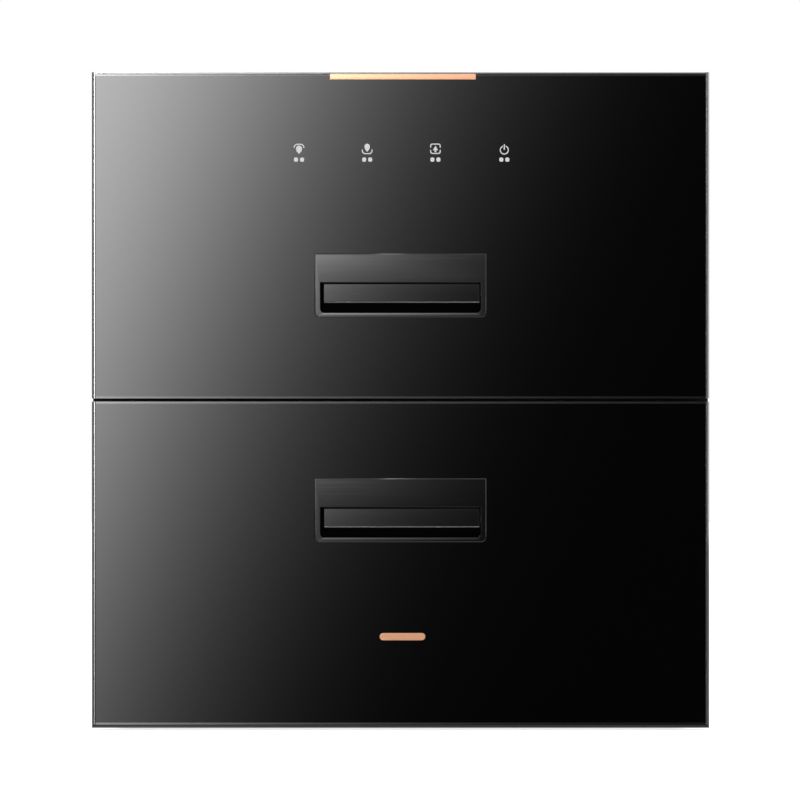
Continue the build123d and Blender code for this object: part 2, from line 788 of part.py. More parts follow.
def wire_floor(z, cross_places, long_places):
    """The floor of a basket: a stout frame, cross wires in its plane and lengthwise wires laid on them."""
    upper = z + 2 * mesh_wire_radius + wire_fit
    reach = rim_wire_radius + wire_fit
    pieces = []
    for y in (front_wire, back_wire):
        bar = rod((-side_wire, y, z), (side_wire, y, z), rim_wire_radius)
        caps = [Pos(x, y, z) * Sphere(rim_wire_radius) for x in (-side_wire, side_wire)]
        pieces.append(joined([bar] + caps))
    for x in (-side_wire, side_wire):
        pieces.append(rod((x, front_wire + reach, z), (x, back_wire - reach, z), rim_wire_radius))
    for y in cross_places:
        pieces.append(rod((-side_wire + reach, y, z), (side_wire - reach, y, z), mesh_wire_radius))
    for x in long_places:
        pieces.append(rod((x, front_wire + reach, upper), (x, back_wire - reach, upper), mesh_wire_radius))
    return pieces


def wire_wall(start, end, z, height, middle_bar):
    """A flat basket wall that stands on the floor's frame: uprights under a stout rail."""
    foot = z + rim_wire_radius + wire_fit
    top = z + height
    gap = rim_wire_radius + wire_fit if start[0] == end[0] else 0
    a, b = (start[0], start[1] + gap), (end[0], end[1] - gap)
    length = math.dist(a, b)
    step = ((b[0] - a[0]) / length, (b[1] - a[1]) / length)
    margin = 2 * rim_wire_radius
    rail = rod((*a, top), (*b, top), rim_wire_radius)
    pieces = [rail]
    if middle_bar:
        half = (foot + top) / 2
        inset = margin + mesh_wire_radius / 2
        pieces.append(rod((a[0] + step[0] * inset, a[1] + step[1] * inset, half),
                          (b[0] - step[0] * inset, b[1] - step[1] * inset, half), mesh_wire_radius))
    for s in spread(margin, length - margin, wall_wire_pitch):
        x, y = a[0] + step[0] * s, a[1] + step[1] * s
        pieces.append(rod((x, y, foot), (x, y, top), mesh_wire_radius))
    return joined(pieces)


def wire_walls(z, height, middle_bar):
    sides = [wire_wall((x, front_wire), (x, back_wire), z, height, middle_bar)
             for x in (-side_wire, side_wire)]
    ends = [wire_wall((-side_wire, y), (side_wire, y), z, height, middle_bar)
            for y in (front_wire, back_wire)]
    return sides + ends


def basket():
    """The upper drawer's wire basket, for bowls and cups."""
    z = wire_base(z_upper_floor)
    cross = spread(front_wire, back_wire, floor_wire_pitch)[1:-1]
    along = spread(-side_wire, side_wire, 2 * floor_wire_pitch)[1:-1]
    return wire_floor(z, cross, along) + wire_walls(z, basket_wall_height, True)


def plate_rack():
    """The lower drawer's rack: a wire floor and walls, and upright dividers that hold plates on edge."""
    z = wire_base(z_lower_floor)
    cross = spread(front_wire, back_wire, rack_floor_pitch)[1:-1]
    pieces = wire_floor(z, cross, []) + wire_walls(z, rack_wall_height, False)
    base = z + 2 * mesh_wire_radius + wire_fit
    middle = (front_wire + back_wire) / 2
    ends = (front_wire + 2 * rim_wire_radius, back_wire - 2 * rim_wire_radius)
    for i in range(divider_count):
        x = -side_wire + divider_margin + divider_pitch * i
        pieces.append(rod((x, ends[0], base), (x, ends[1], base), mesh_wire_radius))
        for row in range(peg_rows):
            y = middle + peg_row_pitch * (row - (peg_rows - 1) / 2)
            foot, top = base + mesh_wire_radius + wire_fit, base + peg_height
            peg = rod((x, y, foot), (x, y, top), mesh_wire_radius)
            pieces.append(joined([peg, Pos(x, y, top) * Sphere(mesh_wire_radius)]))
    return pieces


def cutlery_holder():
    """An open box of slotted sheet for chopsticks and spoons, standing on the rack's cross wires."""
    foot = wire_base(z_lower_floor) + mesh_wire_radius + wire_fit
    right = side_wire - rim_wire_radius - cutlery_margin
    x = (right - cutlery_width, right)
    y = around((front_wire + back_wire) / 2, cutlery_length)
    box = block(x, y, (foot, foot + cutlery_height))
    hollow = block((x[0] + cutlery_sheet, x[1] - cutlery_sheet), (y[0] + cutlery_sheet, y[1] - cutlery_sheet),
                   (foot + cutlery_sheet, foot + cutlery_height + 1))
    places = spread(y[0] + cutlery_slot_margin, y[1] - cutlery_slot_margin,
                    (cutlery_length - 2 * cutlery_slot_margin) / (cutlery_slots - 1))
    slots = [block((x[0] - 1, x[1] + 1), around(place, cutlery_slot_width),
                   (foot + cutlery_slot_margin, foot + cutlery_height - cutlery_slot_margin))
             for place in places]
    return [box - hollow - slots]


# ---------------------------------------------------------------- infrared heaters
y_reflector = y_chamber_back - insulation_fit - reflector_sheet - trough_radius
z_heaters = [z_lower_floor + heater_rise + heater_tube_pitch * s for s in (-0.5, 0.5)]
y_heater = y_reflector + heater_setback


def quartz_heaters():
    half = heater_tube_length / 2
    return [rod((-half, y_heater, z), (half, y_heater, z), heater_tube_radius) for z in z_heaters]


def heater_holders():
    """Ceramic blocks on the chamber's back wall that grip the tubes' ends."""
    pieces = []
    inner = heater_tube_length / 2 - holder_grip
    for z in z_heaters:
        holder = block((inner, inner + holder_width), (y_reflector - holder_grip, y_chamber_back),
                       around(z, holder_height))
        holder = fillet(holder.edges().filter_by(Axis.X).group_by(Axis.Y)[0], holder_corner_radius)
        socket = rod((inner - 1, y_heater, z), (inner + holder_grip + holder_clearance, y_heater, z),
                     heater_tube_radius + holder_clearance)
        pieces += both_sides(holder - socket)
    return pieces


def heater_reflector():
    """A polished sheet with a trough behind each tube."""
    half = heater_tube_length / 2 - holder_grip - insulation_fit
    low = z_heaters[0] - trough_radius - reflector_margin
    high = z_heaters[1] + trough_radius + reflector_margin
    sheet = block((-half, half), (y_reflector, y_reflector + reflector_sheet), (low, high))
    behind = block((-half - 1, half + 1), (y_reflector, y_chamber_back), (low, high))
    shells = [rod((-half, y_reflector, z), (half, y_reflector, z), trough_radius + reflector_sheet) & behind
              for z in z_heaters]
    troughs = [rod((-half - 1, y_reflector, z), (half + 1, y_reflector, z), trough_radius)
               for z in z_heaters]
    return [joined([sheet] + shells) - troughs]


def wire_guard(half, low, high, y, pitch):
    """A welded wire guard in front of the chamber's back wall, and the four legs that it stands on."""
    rails = [rod((-half, y, z), (half, y, z), guard_wire_radius) for z in spread(low, high, pitch)]
    uprights = [rod((x, y + 2 * guard_wire_radius - wire_weld, low - guard_wire_radius),
                    (x, y + 2 * guard_wire_radius - wire_weld, high + guard_wire_radius), guard_wire_radius)
                for x in spread(-half + guard_margin, half - guard_margin, 8 * pitch)]
    legs = [rod((x, y + guard_wire_radius + wire_fit, z), (x, y_chamber_back, z), guard_wire_radius)
            for x in (-half + guard_wire_radius, half - guard_wire_radius) for z in (low, high)]
    return [joined(rails + uprights)] + legs


def heater_guard():
    half = heater_tube_length / 2 + holder_width
    reach = trough_radius + reflector_margin + guard_margin / 2
    return wire_guard(half, z_heaters[0] - reach, z_heaters[1] + reach,
                      y_reflector - holder_grip - guard_standoff, guard_wire_pitch)


# ---------------------------------------------------------------- ultraviolet lamp
y_lamp = y_chamber_back - lamp_standoff
z_lamp = z_upper_ceiling - lamp_drop


def uv_lamp():
    half = lamp_length / 2
    return [rod((-half, y_lamp, z_lamp), (half, y_lamp, z_lamp), lamp_radius)]


def uv_lamp_holders():
    """The lamp's end sockets, on the chamber's back wall."""
    inner = lamp_length / 2 - holder_grip
    front = y_lamp - lamp_radius - lamp_holder_nose
    holder = block((inner, inner + lamp_holder_width), (front, y_chamber_back),
                   around(z_lamp, lamp_holder_height))
    holder = fillet(holder.edges().filter_by(Axis.X).group_by(Axis.Y)[0], lamp_holder_corner_radius)
    socket = rod((inner - 1, y_lamp, z_lamp), (inner + holder_grip + holder_clearance, y_lamp, z_lamp),
                 lamp_radius + holder_clearance)
    return both_sides(holder - socket)


def uv_lamp_guard():
    half = lamp_length / 2 + lamp_holder_width
    reach = lamp_holder_height / 2 + guard_margin / 2
    return wire_guard(half, z_lamp - reach, z_lamp + reach, y_lamp - lamp_radius - guard_standoff,
                      guard_wire_pitch)


# ---------------------------------------------------------------- warm-air heater and fan
y_heater_block = y_chamber_back + liner_sheet + insulation_fit
y_fan = y_heater_block + heater_block_depth + insulation_fit
y_fan_back = y_fan + fan_depth


def ptc_heater():
    """The finned heater block between the fan and the chamber's slots."""
    depth = (y_heater_block, y_heater_block + heater_block_depth)
    half = heater_block_width / 2
    bars = [block((-half, half), depth, around(z_fan + s * heater_block_height / 2, 3 * heater_fin_thickness))
            for s in (-1, 0, 1)]
    fins = [block(around(x, heater_fin_thickness), depth, around(z_fan, heater_block_height))
            for x in spread(-half + heater_fin_thickness, half - heater_fin_thickness, heater_fin_pitch)]
    return [joined(bars + fins)]


def fan_housing():
    """The fan's square frame, with a base for the motor's shaft on four struts."""
    frame = block(around(0, fan_size), (y_fan, y_fan_back), around(z_fan, fan_size))
    frame = fillet(frame.edges().filter_by(Axis.Y), fan_corner_radius)
    frame = frame - rod((0, y_fan - 1, z_fan), (0, y_fan_back + 1, z_fan), fan_bore_radius)
    deep = (y_fan_back - fan_base_thickness, y_fan_back)
    base = rod((0, deep[0], z_fan), (0, deep[1], z_fan), fan_hub_radius)
    reach = fan_bore_radius + 1
    struts = [block((-reach, reach), deep, around(z_fan, fan_strut_width)),
              block(around(0, fan_strut_width), deep, (z_fan - reach, z_fan + reach))]
    bearing = rod((0, deep[0] - 1, z_fan), (0, deep[1] + 1, z_fan), fan_shaft_radius + fan_shaft_clearance)
    return [joined([frame, base] + struts) - bearing]


def fan_rotor():
    """The fan's hub, shaft and pitched blades. It turns about +Y."""
    front, rear = y_fan + fan_end_gap, y_fan_back - fan_base_thickness - fan_end_gap
    hub = rod((0, front, z_fan), (0, rear, z_fan), fan_hub_radius)
    hub = fillet(hub.edges().group_by(Axis.Y)[0], fan_hub_edge)
    shaft = rod((0, rear, z_fan), (0, y_fan_back - contact_gap, z_fan), fan_shaft_radius)
    tip = fan_bore_radius - fan_tip_gap
    chord = (rear - front - 2 * fan_end_gap) / math.cos(math.radians(fan_blade_pitch))
    blade = Box(fan_blade_thickness, chord, tip, align=(Align.CENTER, Align.CENTER, Align.MIN))
    sweep = Pos(0, (front + rear) / 2, z_fan)
    blades = [sweep * Rot(0, 360 / fan_blades * i, 0) * Rot(0, 0, fan_blade_pitch) * blade
              for i in range(fan_blades)]
    swept = rod((0, front, z_fan), (0, rear, z_fan), tip)
    return [joined([hub, shaft] + [blade & swept for blade in blades])]


# ---------------------------------------------------------------- electrics
def board_box_corner():
    """Low X, Y and Z of the box on the upper chamber's back."""
    return (-half_body + board_box_inset, y_chamber_back + liner_sheet + insulation_fit,
            z_upper_floor + board_box_rise)


def board_box():
    """The open plastic box that holds the power board, fixed to the back of the upper chamber."""
    x, y, z = board_box_corner()
    box = block((x, x + board_box_width), (y, y + board_box_depth), (z, z + board_box_height))
    wall = board_box_wall
    hollow = block((x + wall, x + board_box_width - wall), (y + wall, y + board_box_depth + 1),
                   (z + wall, z + board_box_height - wall))
    return [box - hollow]


def power_board():
    """The power board on its posts, with its transformer, relays, capacitor and terminals."""
    x, y, z = board_box_corner()
    edge = board_box_wall + board_margin
    back = y + board_box_wall
    face = back + board_standoff
    board = block((x + edge, x + board_box_width - edge), (face, face + board_thickness),
                  (z + edge, z + board_box_height - edge))
    low, high = (x + edge, z + edge), (x + board_box_width - edge, z + board_box_height - edge)
    posts = [rod((px, back, pz), (px, face, pz), board_post_radius)
             for px in (low[0] + board_post_inset, high[0] - board_post_inset)
             for pz in (low[1] + board_post_inset, high[1] - board_post_inset)]

    def on_board(left, bottom, size):
        """A boxy part on the board, from its lower left corner and its width, height and depth."""
        top = face + board_thickness
        return block((left, left + size[0]), (top, top + size[2]), (bottom, bottom + size[1]))

    upper_row = high[1] - board_part_gap - transformer_height
    left = low[0] + board_part_gap
    parts = [on_board(left, upper_row, (transformer_width, transformer_height, transformer_depth))]
    left += transformer_width + board_part_gap
    for i in range(relay_count):
        parts.append(on_board(left, upper_row, (relay_width, relay_height, relay_depth)))
        left += relay_width + board_part_gap
    lower_row = low[1] + board_part_gap
    capacitor = (low[0] + board_part_gap + capacitor_radius, lower_row + capacitor_radius)
    parts.append(rod((capacitor[0], face + board_thickness, capacitor[1]),
                     (capacitor[0], face + board_thickness + capacitor_length, capacitor[1]),
                     capacitor_radius))
    parts.append(on_board(capacitor[0] + capacitor_radius + board_part_gap, lower_row,
                          (terminal_width, terminal_height, terminal_depth)))
    return [board] + posts + parts


def temperature_sensors():
    """A probe through each chamber's back wall, and a cut-out thermostat behind the hot one."""
    y = y_chamber_back
    x = half_chamber - sensor_inset
    pieces = [rod((x, y - sensor_length, z), (x, y, z), sensor_radius)
              for z in (z_fan, z_heaters[0] - sensor_drop)]
    back = y_chamber_back + liner_sheet
    pieces.append(rod((0, back, z_heaters[1]), (0, back + thermostat_depth, z_heaters[1]),
                      thermostat_radius))
    return pieces


def door_switches():
    """The reed switches behind the front frame, one for each drawer."""
    far = half_body - body_sheet
    return [block((far - switch_depth, far), (y_body, y_body + switch_width),
                  around(floor + switch_rise, switch_height)) for floor in (z_lower_floor, z_upper_floor)]


def cord_gland():
    """The mains cord's gland in the back panel, with its nut inside."""
    x, z = gland_side, z_gland
    flange = rod((x, y_back, z), (x, y_back + gland_flange_thickness, z), gland_flange_radius)
    flange = fillet(flange.edges().group_by(Axis.Y)[-1], gland_flange_edge)
    nose = Plane(origin=(x, y_back + gland_flange_thickness, z), z_dir=(0, 1, 0)) * Cone(
        gland_body_radius, gland_nose_radius, gland_nose - gland_flange_thickness,
        align=(Align.CENTER, Align.CENTER, Align.MIN))
    inside = y_back - body_sheet
    tail = inside - gland_nut_thickness - gland_tail
    body = rod((x, tail, z), (x, y_back, z), gland_body_radius)
    nut_plane = Plane(origin=(x, inside, z), z_dir=(0, -1, 0))
    nut = extrude(nut_plane * RegularPolygon(gland_nut_radius, 6), amount=gland_nut_thickness)
    bore = rod((x, tail - 1, z), (x, y_back + gland_nose + 1, z), gland_bore_radius)
    return [joined([flange, nose, body, nut]) - bore]


# ---------------------------------------------------------------- writing the nodes
upper_handle_top = z_front_top - upper_handle_drop
lower_handle_top = z_lower_front_top - lower_handle_drop
upper_glass_top = z_front_top - top_trim_thickness - edge_fit

nodes = {
    "outer_wrap": outer_wrap(),
    "base_pan": base_pan(),
    "back_panel": back_panel(),
    "case_screws": case_screws(),
    "front_frame": front_frame(),
    "base_trim": base_trim(),
    "feet": feet(),
    "upper_liner": upper_liner(),
    "lower_liner": lower_liner(),
    "insulation_boards": insulation_boards(),
    "quartz_heaters": quartz_heaters(),
    "heater_holders": heater_holders(),
    "heater_reflector": heater_reflector(),
    "heater_guard": heater_guard(),
    "uv_lamp": uv_lamp(),
    "uv_lamp_holders": uv_lamp_holders(),
    "uv_lamp_guard": uv_lamp_guard(),
    "ptc_heater": ptc_heater(),
    "fan_housing": fan_housing(),
    "fan_rotor": fan_rotor(),
    "board_box": board_box(),
    "power_board": power_board(),
    "temperature_sensors": temperature_sensors(),
    "door_switches": door_switches(),
    "cord_gland": cord_gland(),
    "upper_glass": glass_plate(z_upper_front, upper_glass_top, upper_handle_top),
    "upper_trim_frame": upper_trim_frame(),
    "upper_door_pan": door_pan(z_upper_front, upper_glass_top, z_upper_floor, z_upper_ceiling,
                               upper_handle_top),
    "copper_strip": copper_strip(),
    "touch_board": touch_board(),
    "lower_glass": glass_plate(z_lower_front, z_lower_front_top, lower_handle_top),
    "lower_side_trims": lower_side_trims(),
    "lower_door_pan": door_pan(z_lower_front, z_lower_front_top, z_lower_floor, z_lower_ceiling,
                               lower_handle_top),
    "badge_bar": badge_bar(),
    "upper_basket": basket(),
    "plate_rack": plate_rack(),
    "cutlery_holder": cutlery_holder(),
}
for level, floor, ceiling, handle_top in (
    ("upper", z_upper_floor, z_upper_ceiling, upper_handle_top),
    ("lower", z_lower_floor, z_lower_ceiling, lower_handle_top),
):
    nodes[f"{level}_seal"] = seal(floor, ceiling)
    nodes[f"{level}_handle_bezel"] = handle_bezel(handle_top)
    nodes[f"{level}_flap"] = handle_flap(handle_top)
    nodes[f"{level}_flap_springs"] = flap_springs(handle_top)
    nodes[f"{level}_carrier"] = carrier(floor)
    nodes[f"{level}_drip_tray"] = drip_tray(floor)
    nodes[f"{level}_runner_outers"] = runner_outers(floor)
    nodes[f"{level}_runner_middles"] = runner_middles(floor)
    nodes[f"{level}_runner_inners"] = runner_inners(floor)
    nodes[f"{level}_outer_ball_cages"] = ball_cages(floor, middle_half, cage_x)
    nodes[f"{level}_inner_ball_cages"] = ball_cages(floor, inner_half, cage_x)

os.makedirs("parts", exist_ok=True)
for name, pieces in nodes.items():
    write(name, pieces)
print(len(nodes), "nodes,", round(front_width), "x", round(total_depth), "x", round(z_front_top), "mm")
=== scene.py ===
# %% [markdown]
# # A two-drawer dish sterilizer cabinet
#
# The cabinet is built into a kitchen unit: two drawers with black glass fronts stand over each other, each
# with a brushed handle plate and a sprung pull flap. The measured model comes first, as a fixed frame that
# already moves as the real cabinet does. This lesson dresses it: every sheet, wire and moulding gets a
# finish that is mixed from nodes, and the pieces that the eye rests on are modelled again in finer detail.

# %% Load the measured model
import json
import math

import bmesh
import bpy
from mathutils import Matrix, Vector


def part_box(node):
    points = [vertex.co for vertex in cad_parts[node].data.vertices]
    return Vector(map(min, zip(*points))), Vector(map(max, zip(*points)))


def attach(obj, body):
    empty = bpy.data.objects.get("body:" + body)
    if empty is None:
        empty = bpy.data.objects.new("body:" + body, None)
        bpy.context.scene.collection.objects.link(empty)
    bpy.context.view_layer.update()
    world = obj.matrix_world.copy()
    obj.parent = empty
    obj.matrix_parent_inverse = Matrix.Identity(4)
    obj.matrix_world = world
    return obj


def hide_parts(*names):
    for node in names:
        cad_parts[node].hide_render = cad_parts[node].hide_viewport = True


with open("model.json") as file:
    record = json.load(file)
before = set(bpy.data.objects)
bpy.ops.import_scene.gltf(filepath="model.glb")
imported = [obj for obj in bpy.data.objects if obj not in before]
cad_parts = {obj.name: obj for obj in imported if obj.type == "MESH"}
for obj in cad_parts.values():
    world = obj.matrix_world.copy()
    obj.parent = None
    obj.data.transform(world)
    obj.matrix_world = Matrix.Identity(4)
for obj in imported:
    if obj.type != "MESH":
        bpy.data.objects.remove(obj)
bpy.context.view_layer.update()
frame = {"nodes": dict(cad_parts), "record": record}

# %% [markdown]
# ## The camera
#
# The photograph is a straight front view with no perspective to speak of. A very long lens, twelve metres
# away, gives the same flat look and still lets the other views come closer. The camera stands level with
# the dark line between the two fronts, because that line is in the middle of the picture.

# %% Set up the camera
MM = 0.001
upper_glass_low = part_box("upper_glass")[0]
lower_glass_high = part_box("lower_glass")[1]
glass_face = upper_glass_low.y
gap_middle = (upper_glass_low.z + lower_glass_high.z) / 2
camera_distance = 12.0
picture_width = 0.7724  # metres across the picture at the glass
picture_middle = -0.5 * MM  # the object stands slightly right of the middle
film_width = 36.0  # millimetres

camera_data = bpy.data.cameras.new("front_camera")
camera = bpy.data.objects.new("front_camera", camera_data)
bpy.context.scene.collection.objects.link(camera)
camera_data.sensor_width = film_width
camera_data.lens = film_width * camera_distance / picture_width
camera_data.clip_end = 60.0
camera.location = (picture_middle, glass_face - camera_distance, gap_middle)
camera.rotation_euler = (math.radians(90), 0, 0)
bpy.context.scene.camera = camera
bpy.context.scene.view_settings.view_transform = "Standard"
print("lens", round(camera_data.lens), "mm")

# %% [markdown]
# ## Small helpers for building by hand
#
# Nearly every piece is made the same way: deselect everything, add a primitive at its size and place, pick
# faces or edges by where they are, and shape them with edit-mode operators. These helpers keep those steps
# short. `settle` puts an object's place into its mesh, as the measured nodes have it.

# %% Define the modelling helpers
def clear_selection():
    """Back to object mode with nothing selected."""
    if bpy.context.object and bpy.context.object.mode != "OBJECT":
        bpy.ops.object.mode_set(mode="OBJECT")
    bpy.ops.object.select_all(action="DESELECT")


def only(piece):
    """Makes one object the active and only selected one."""
    clear_selection()
    piece.select_set(True)
    bpy.context.view_layer.objects.active = piece


def settle(piece):
    """Moves the object's place, turn and scale into its mesh."""
    only(piece)
    bpy.ops.object.transform_apply(location=True, rotation=True, scale=True)
    return piece


def slab(name, low, high):
    """A block between two corners, in metres."""
    clear_selection()
    middle = [(a + b) / 2 for a, b in zip(low, high)]
    bpy.ops.mesh.primitive_cube_add(size=1, location=middle)
    piece = bpy.context.object
    piece.name = name
    piece.dimensions = [b - a for a, b in zip(low, high)]
    return settle(piece)


def barrel(name, start, end, radius, sides=32):
    """A closed cylinder from one point to another."""
    clear_selection()
    start, end = Vector(start), Vector(end)
    bpy.ops.mesh.primitive_cylinder_add(vertices=sides, radius=radius, depth=(end - start).length,
                                        location=(start + end) / 2)
    piece = bpy.context.object
    piece.name = name
    piece.rotation_euler = (end - start).to_track_quat("Z", "Y").to_euler()
    return settle(piece)


def open_for_picking(piece, kind):
    """Opens the piece in edit mode, ready to select points, edges or faces, with none selected yet."""
    only(piece)
    bpy.ops.object.mode_set(mode="EDIT")
    bpy.ops.mesh.select_mode(type=kind)
    bpy.ops.mesh.select_all(action="DESELECT")
    return bmesh.from_edit_mesh(piece.data)


def pick_points(piece, test):
    """Selects the points whose place passes the test."""
    for point in open_for_picking(piece, "VERT").verts:
        point.select = test(point.co)
    bmesh.update_edit_mesh(piece.data)


def pick_edges(piece, test):
    """Selects the edges whose middle and direction pass the test."""
    for edge in open_for_picking(piece, "EDGE").edges:
        a, b = edge.verts[0].co, edge.verts[1].co
        if test((a + b) / 2, (b - a).normalized()):
            edge.select = True
    bmesh.update_edit_mesh(piece.data)


def pick_faces(piece, test):
    """Selects the faces whose middle and normal pass the test."""
    for face in open_for_picking(piece, "FACE").faces:
        if test(face.calc_center_median(), face.normal):
            face.select = True
    bmesh.update_edit_mesh(piece.data)


def round_picked(width, steps=3):
    """Bevels the picked edges and goes back to object mode."""
    bpy.ops.mesh.bevel(offset=width, segments=steps, affect="EDGES")
    bpy.ops.object.mode_set(mode="OBJECT")


def carve(piece, cutter):
    """Cuts one object out of another and removes the cutter."""
    only(piece)
    cut = piece.modifiers.new("cut", "BOOLEAN")
    cut.operation = "DIFFERENCE"
    cut.solver = "EXACT"
    cut.object = cutter
    bpy.ops.object.modifier_apply(modifier=cut.name)
    bpy.data.objects.remove(cutter, do_unlink=True)
    return piece


def polish(piece, angle=35):
    """Smooth shading over the small bevels, with the large faces kept truly flat."""
    only(piece)
    bpy.ops.object.shade_smooth_by_angle(angle=math.radians(angle))
    flat = piece.modifiers.new("flat_faces", "WEIGHTED_NORMAL")
    flat.weight = 100
    flat.keep_sharp = True
    bpy.ops.object.modifier_apply(modifier=flat.name)
    return piece


def weld(name, pieces):
    """Joins several objects into one piece with its own mesh."""
    clear_selection()
    for piece in pieces:
        piece.select_set(True)
    bpy.context.view_layer.objects.active = pieces[0]
    if len(pieces) > 1:
        bpy.ops.object.join()
    pieces[0].name = name
    return pieces[0]


# %% [markdown]
# ## Finishes
#
# A real surface is never one flat colour. Sheet steel shows its rolling lines, powder coat its fine orange
# peel, glass wool its fibres. Each finish here starts from one shared recipe: a noise pattern in the
# piece's own coordinates, stretched along the direction of the grain, drives small changes of tone, of
# roughness and of height. Special finishes add their own pattern to it.

# %% Define the shared recipe for a finish
def node(tree, kind, **values):
    """A new node with some of its inputs or settings given by name."""
    made = tree.nodes.new(kind)
    for key, value in values.items():
        if key in made.inputs.keys():
            made.inputs[key].default_value = value
        else:
            setattr(made, key, value)
    return made


def maths(tree, operation, first, second=None):
    """The result of a sum on two values, each of them a number or another node's output."""
    made = node(tree, "ShaderNodeMath", operation=operation)
    for socket, value in zip(made.inputs, (first, second)):
        if hasattr(value, "default_value"):
            tree.links.new(value, socket)
        elif value is not None:
            socket.default_value = value
    return made.outputs[0]


def blank_finish(name):
    """A material with a Principled shader and the piece's own coordinates ready."""
    material = bpy.data.materials.new(name)
    material.use_nodes = True
    tree = material.node_tree
    shader = tree.nodes["Principled BSDF"]
    place = node(tree, "ShaderNodeTexCoord")
    return material, tree, shader, place.outputs["Object"]


def grain(tree, place, stretch, detail=4.0, roughness=0.6):
    """Noise whose cells have the sizes 1/stretch along X, Y and Z, from about 0.2 to 0.8."""
    mapping = node(tree, "ShaderNodeMapping")
    mapping.inputs["Scale"].default_value = stretch
    tree.links.new(place, mapping.inputs["Vector"])
    noise = node(tree, "ShaderNodeTexNoise", Scale=1.0, Detail=detail, Roughness=roughness)
    tree.links.new(mapping.outputs["Vector"], noise.inputs["Vector"])
    return noise.outputs["Fac"]


def between(tree, value, low, high, source=(0.25, 0.75)):
    """Maps a pattern's value to a range."""
    reach = node(tree, "ShaderNodeMapRange")
    reach.inputs["From Min"].default_value, reach.inputs["From Max"].default_value = source
    reach.inputs["To Min"].default_value, reach.inputs["To Max"].default_value = low, high
    tree.links.new(value, reach.inputs["Value"])
    return reach.outputs["Result"]


def tones(tree, value, dark, light):
    """A colour between two tones, picked by a pattern."""
    mix = node(tree, "ShaderNodeMix", data_type="RGBA")
    tree.links.new(between(tree, value, 0, 1), mix.inputs["Factor"])
    mix.inputs["A"].default_value = (*dark, 1)
    mix.inputs["B"].default_value = (*light, 1)
    return mix.outputs["Result"]


def relief(tree, shader, value, depth, strength=1.0):
    """Lets a pattern raise the surface by up to a depth in metres."""
    bump = node(tree, "ShaderNodeBump", Strength=strength, Distance=depth)
    tree.links.new(value, bump.inputs["Height"])
    tree.links.new(bump.outputs["Normal"], shader.inputs["Normal"])


def shade(colour, factor):
    """The same colour, darker or lighter."""
    return tuple(min(1.0, c * factor) for c in colour)


def plain_finish(name, colour, metallic, roughness, stretch, tone=0.06, gloss=0.04, depth=0.0,
                 detail=4.0):
    """The shared recipe: one grain pattern for tone, roughness and height."""
    material, tree, shader, place = blank_finish(name)
    pattern = grain(tree, place, stretch, detail)
    tree.links.new(tones(tree, pattern, shade(colour, 1 - tone), shade(colour, 1 + tone)),
                   shader.inputs["Base Color"])
    shader.inputs["Metallic"].default_value = metallic
    tree.links.new(between(tree, pattern, roughness - gloss, roughness + gloss),
                   shader.inputs["Roughness"])
    if depth:
        relief(tree, shader, pattern, depth)
    return material, shader


# %% [markdown]
# ## Metals
#
# Brushed steel has lines a fraction of a millimetre wide and several centimetres long, so its pattern is
# stretched about a hundred times along the brushing. Zinc-coated sheet crystallises into flat spangles, for
# which a Voronoi pattern gives each crystal its own tone and gloss. Electropolished wire is nearly a mirror
# with faint drawing marks.

# %% Mix the metals
finishes = {}


def metal(name, colour, roughness, stretch, tone=0.04, gloss=0.04, depth=0.0, metallic=1.0):
    """A metal of one colour with its grain."""
    return plain_finish(name, colour, metallic, roughness, stretch, tone, gloss, depth)[0]


finishes["stainless"] = metal("brushed_stainless", (0.60, 0.61, 0.62), 0.30, (6, 900, 900),
                              tone=0.05, gloss=0.05, depth=0.00001)
finishes["aluminium_trim"] = metal("bright_aluminium", (0.62, 0.63, 0.64), 0.06, (1200, 1200, 8),
                                   tone=0.03, gloss=0.02)
finishes["polished_steel"] = metal("polished_wire", (0.74, 0.75, 0.76), 0.12, (160, 160, 160))
finishes["ball_steel"] = metal("bearing_steel", (0.66, 0.67, 0.68), 0.16, (300, 300, 300))
finishes["copper_finish"] = metal("lacquered_copper", (0.93, 0.48, 0.28), 0.07, (10, 1500, 1500),
                                  tone=0.03, gloss=0.02, metallic=0.4)
finishes["dark_brushed"] = metal("dark_brushed_steel", (0.090, 0.090, 0.092), 0.045, (8, 1600, 1600),
                                 tone=0.12, gloss=0.015)
# A lighter, rougher copy of the dark brushed steel: a painted highlight for the flap's rounded rim.
rim_highlight_metal = metal("rim_painted_highlight", (0.17, 0.17, 0.175), 0.30, (8, 1600, 1600), tone=0.05)


def zinc_sheet():
    """Flat zinc crystals a few millimetres wide with uneven borders, each with its own tone and gloss."""
    material, tree, shader, place = blank_finish("zinc_coated_sheet")
    crystals = node(tree, "ShaderNodeTexVoronoi", Scale=150.0, Randomness=1.0)
    wobble = node(tree, "ShaderNodeTexNoise", Scale=260.0, Detail=2.0)
    tree.links.new(place, wobble.inputs["Vector"])
    push = node(tree, "ShaderNodeVectorMath", operation="MULTIPLY_ADD")
    push.inputs[1].default_value = (0.004, 0.004, 0.004)
    tree.links.new(wobble.outputs["Color"], push.inputs[0])
    tree.links.new(place, push.inputs[2])
    tree.links.new(push.outputs["Vector"], crystals.inputs["Vector"])
    split = node(tree, "ShaderNodeSeparateColor")
    tree.links.new(crystals.outputs["Color"], split.inputs["Color"])
    tree.links.new(tones(tree, split.outputs["Red"], (0.55, 0.56, 0.58), (0.63, 0.65, 0.67)),
                   shader.inputs["Base Color"])
    shader.inputs["Metallic"].default_value = 1.0
    tree.links.new(between(tree, split.outputs["Green"], 0.36, 0.46), shader.inputs["Roughness"])
    relief(tree, shader, split.outputs["Blue"], 0.00002)
    return material


finishes["galvanised_steel"] = zinc_sheet()
print("metals:", ", ".join(finishes))

# %% [markdown]
# ## Coatings, plastics, rubber and ceramic
#
# Powder coat and moulded plastic reflect like any dielectric: what makes them look right is a fine uneven
# surface and a roughness that changes slowly. Rubber is duller and takes dust in its tone.

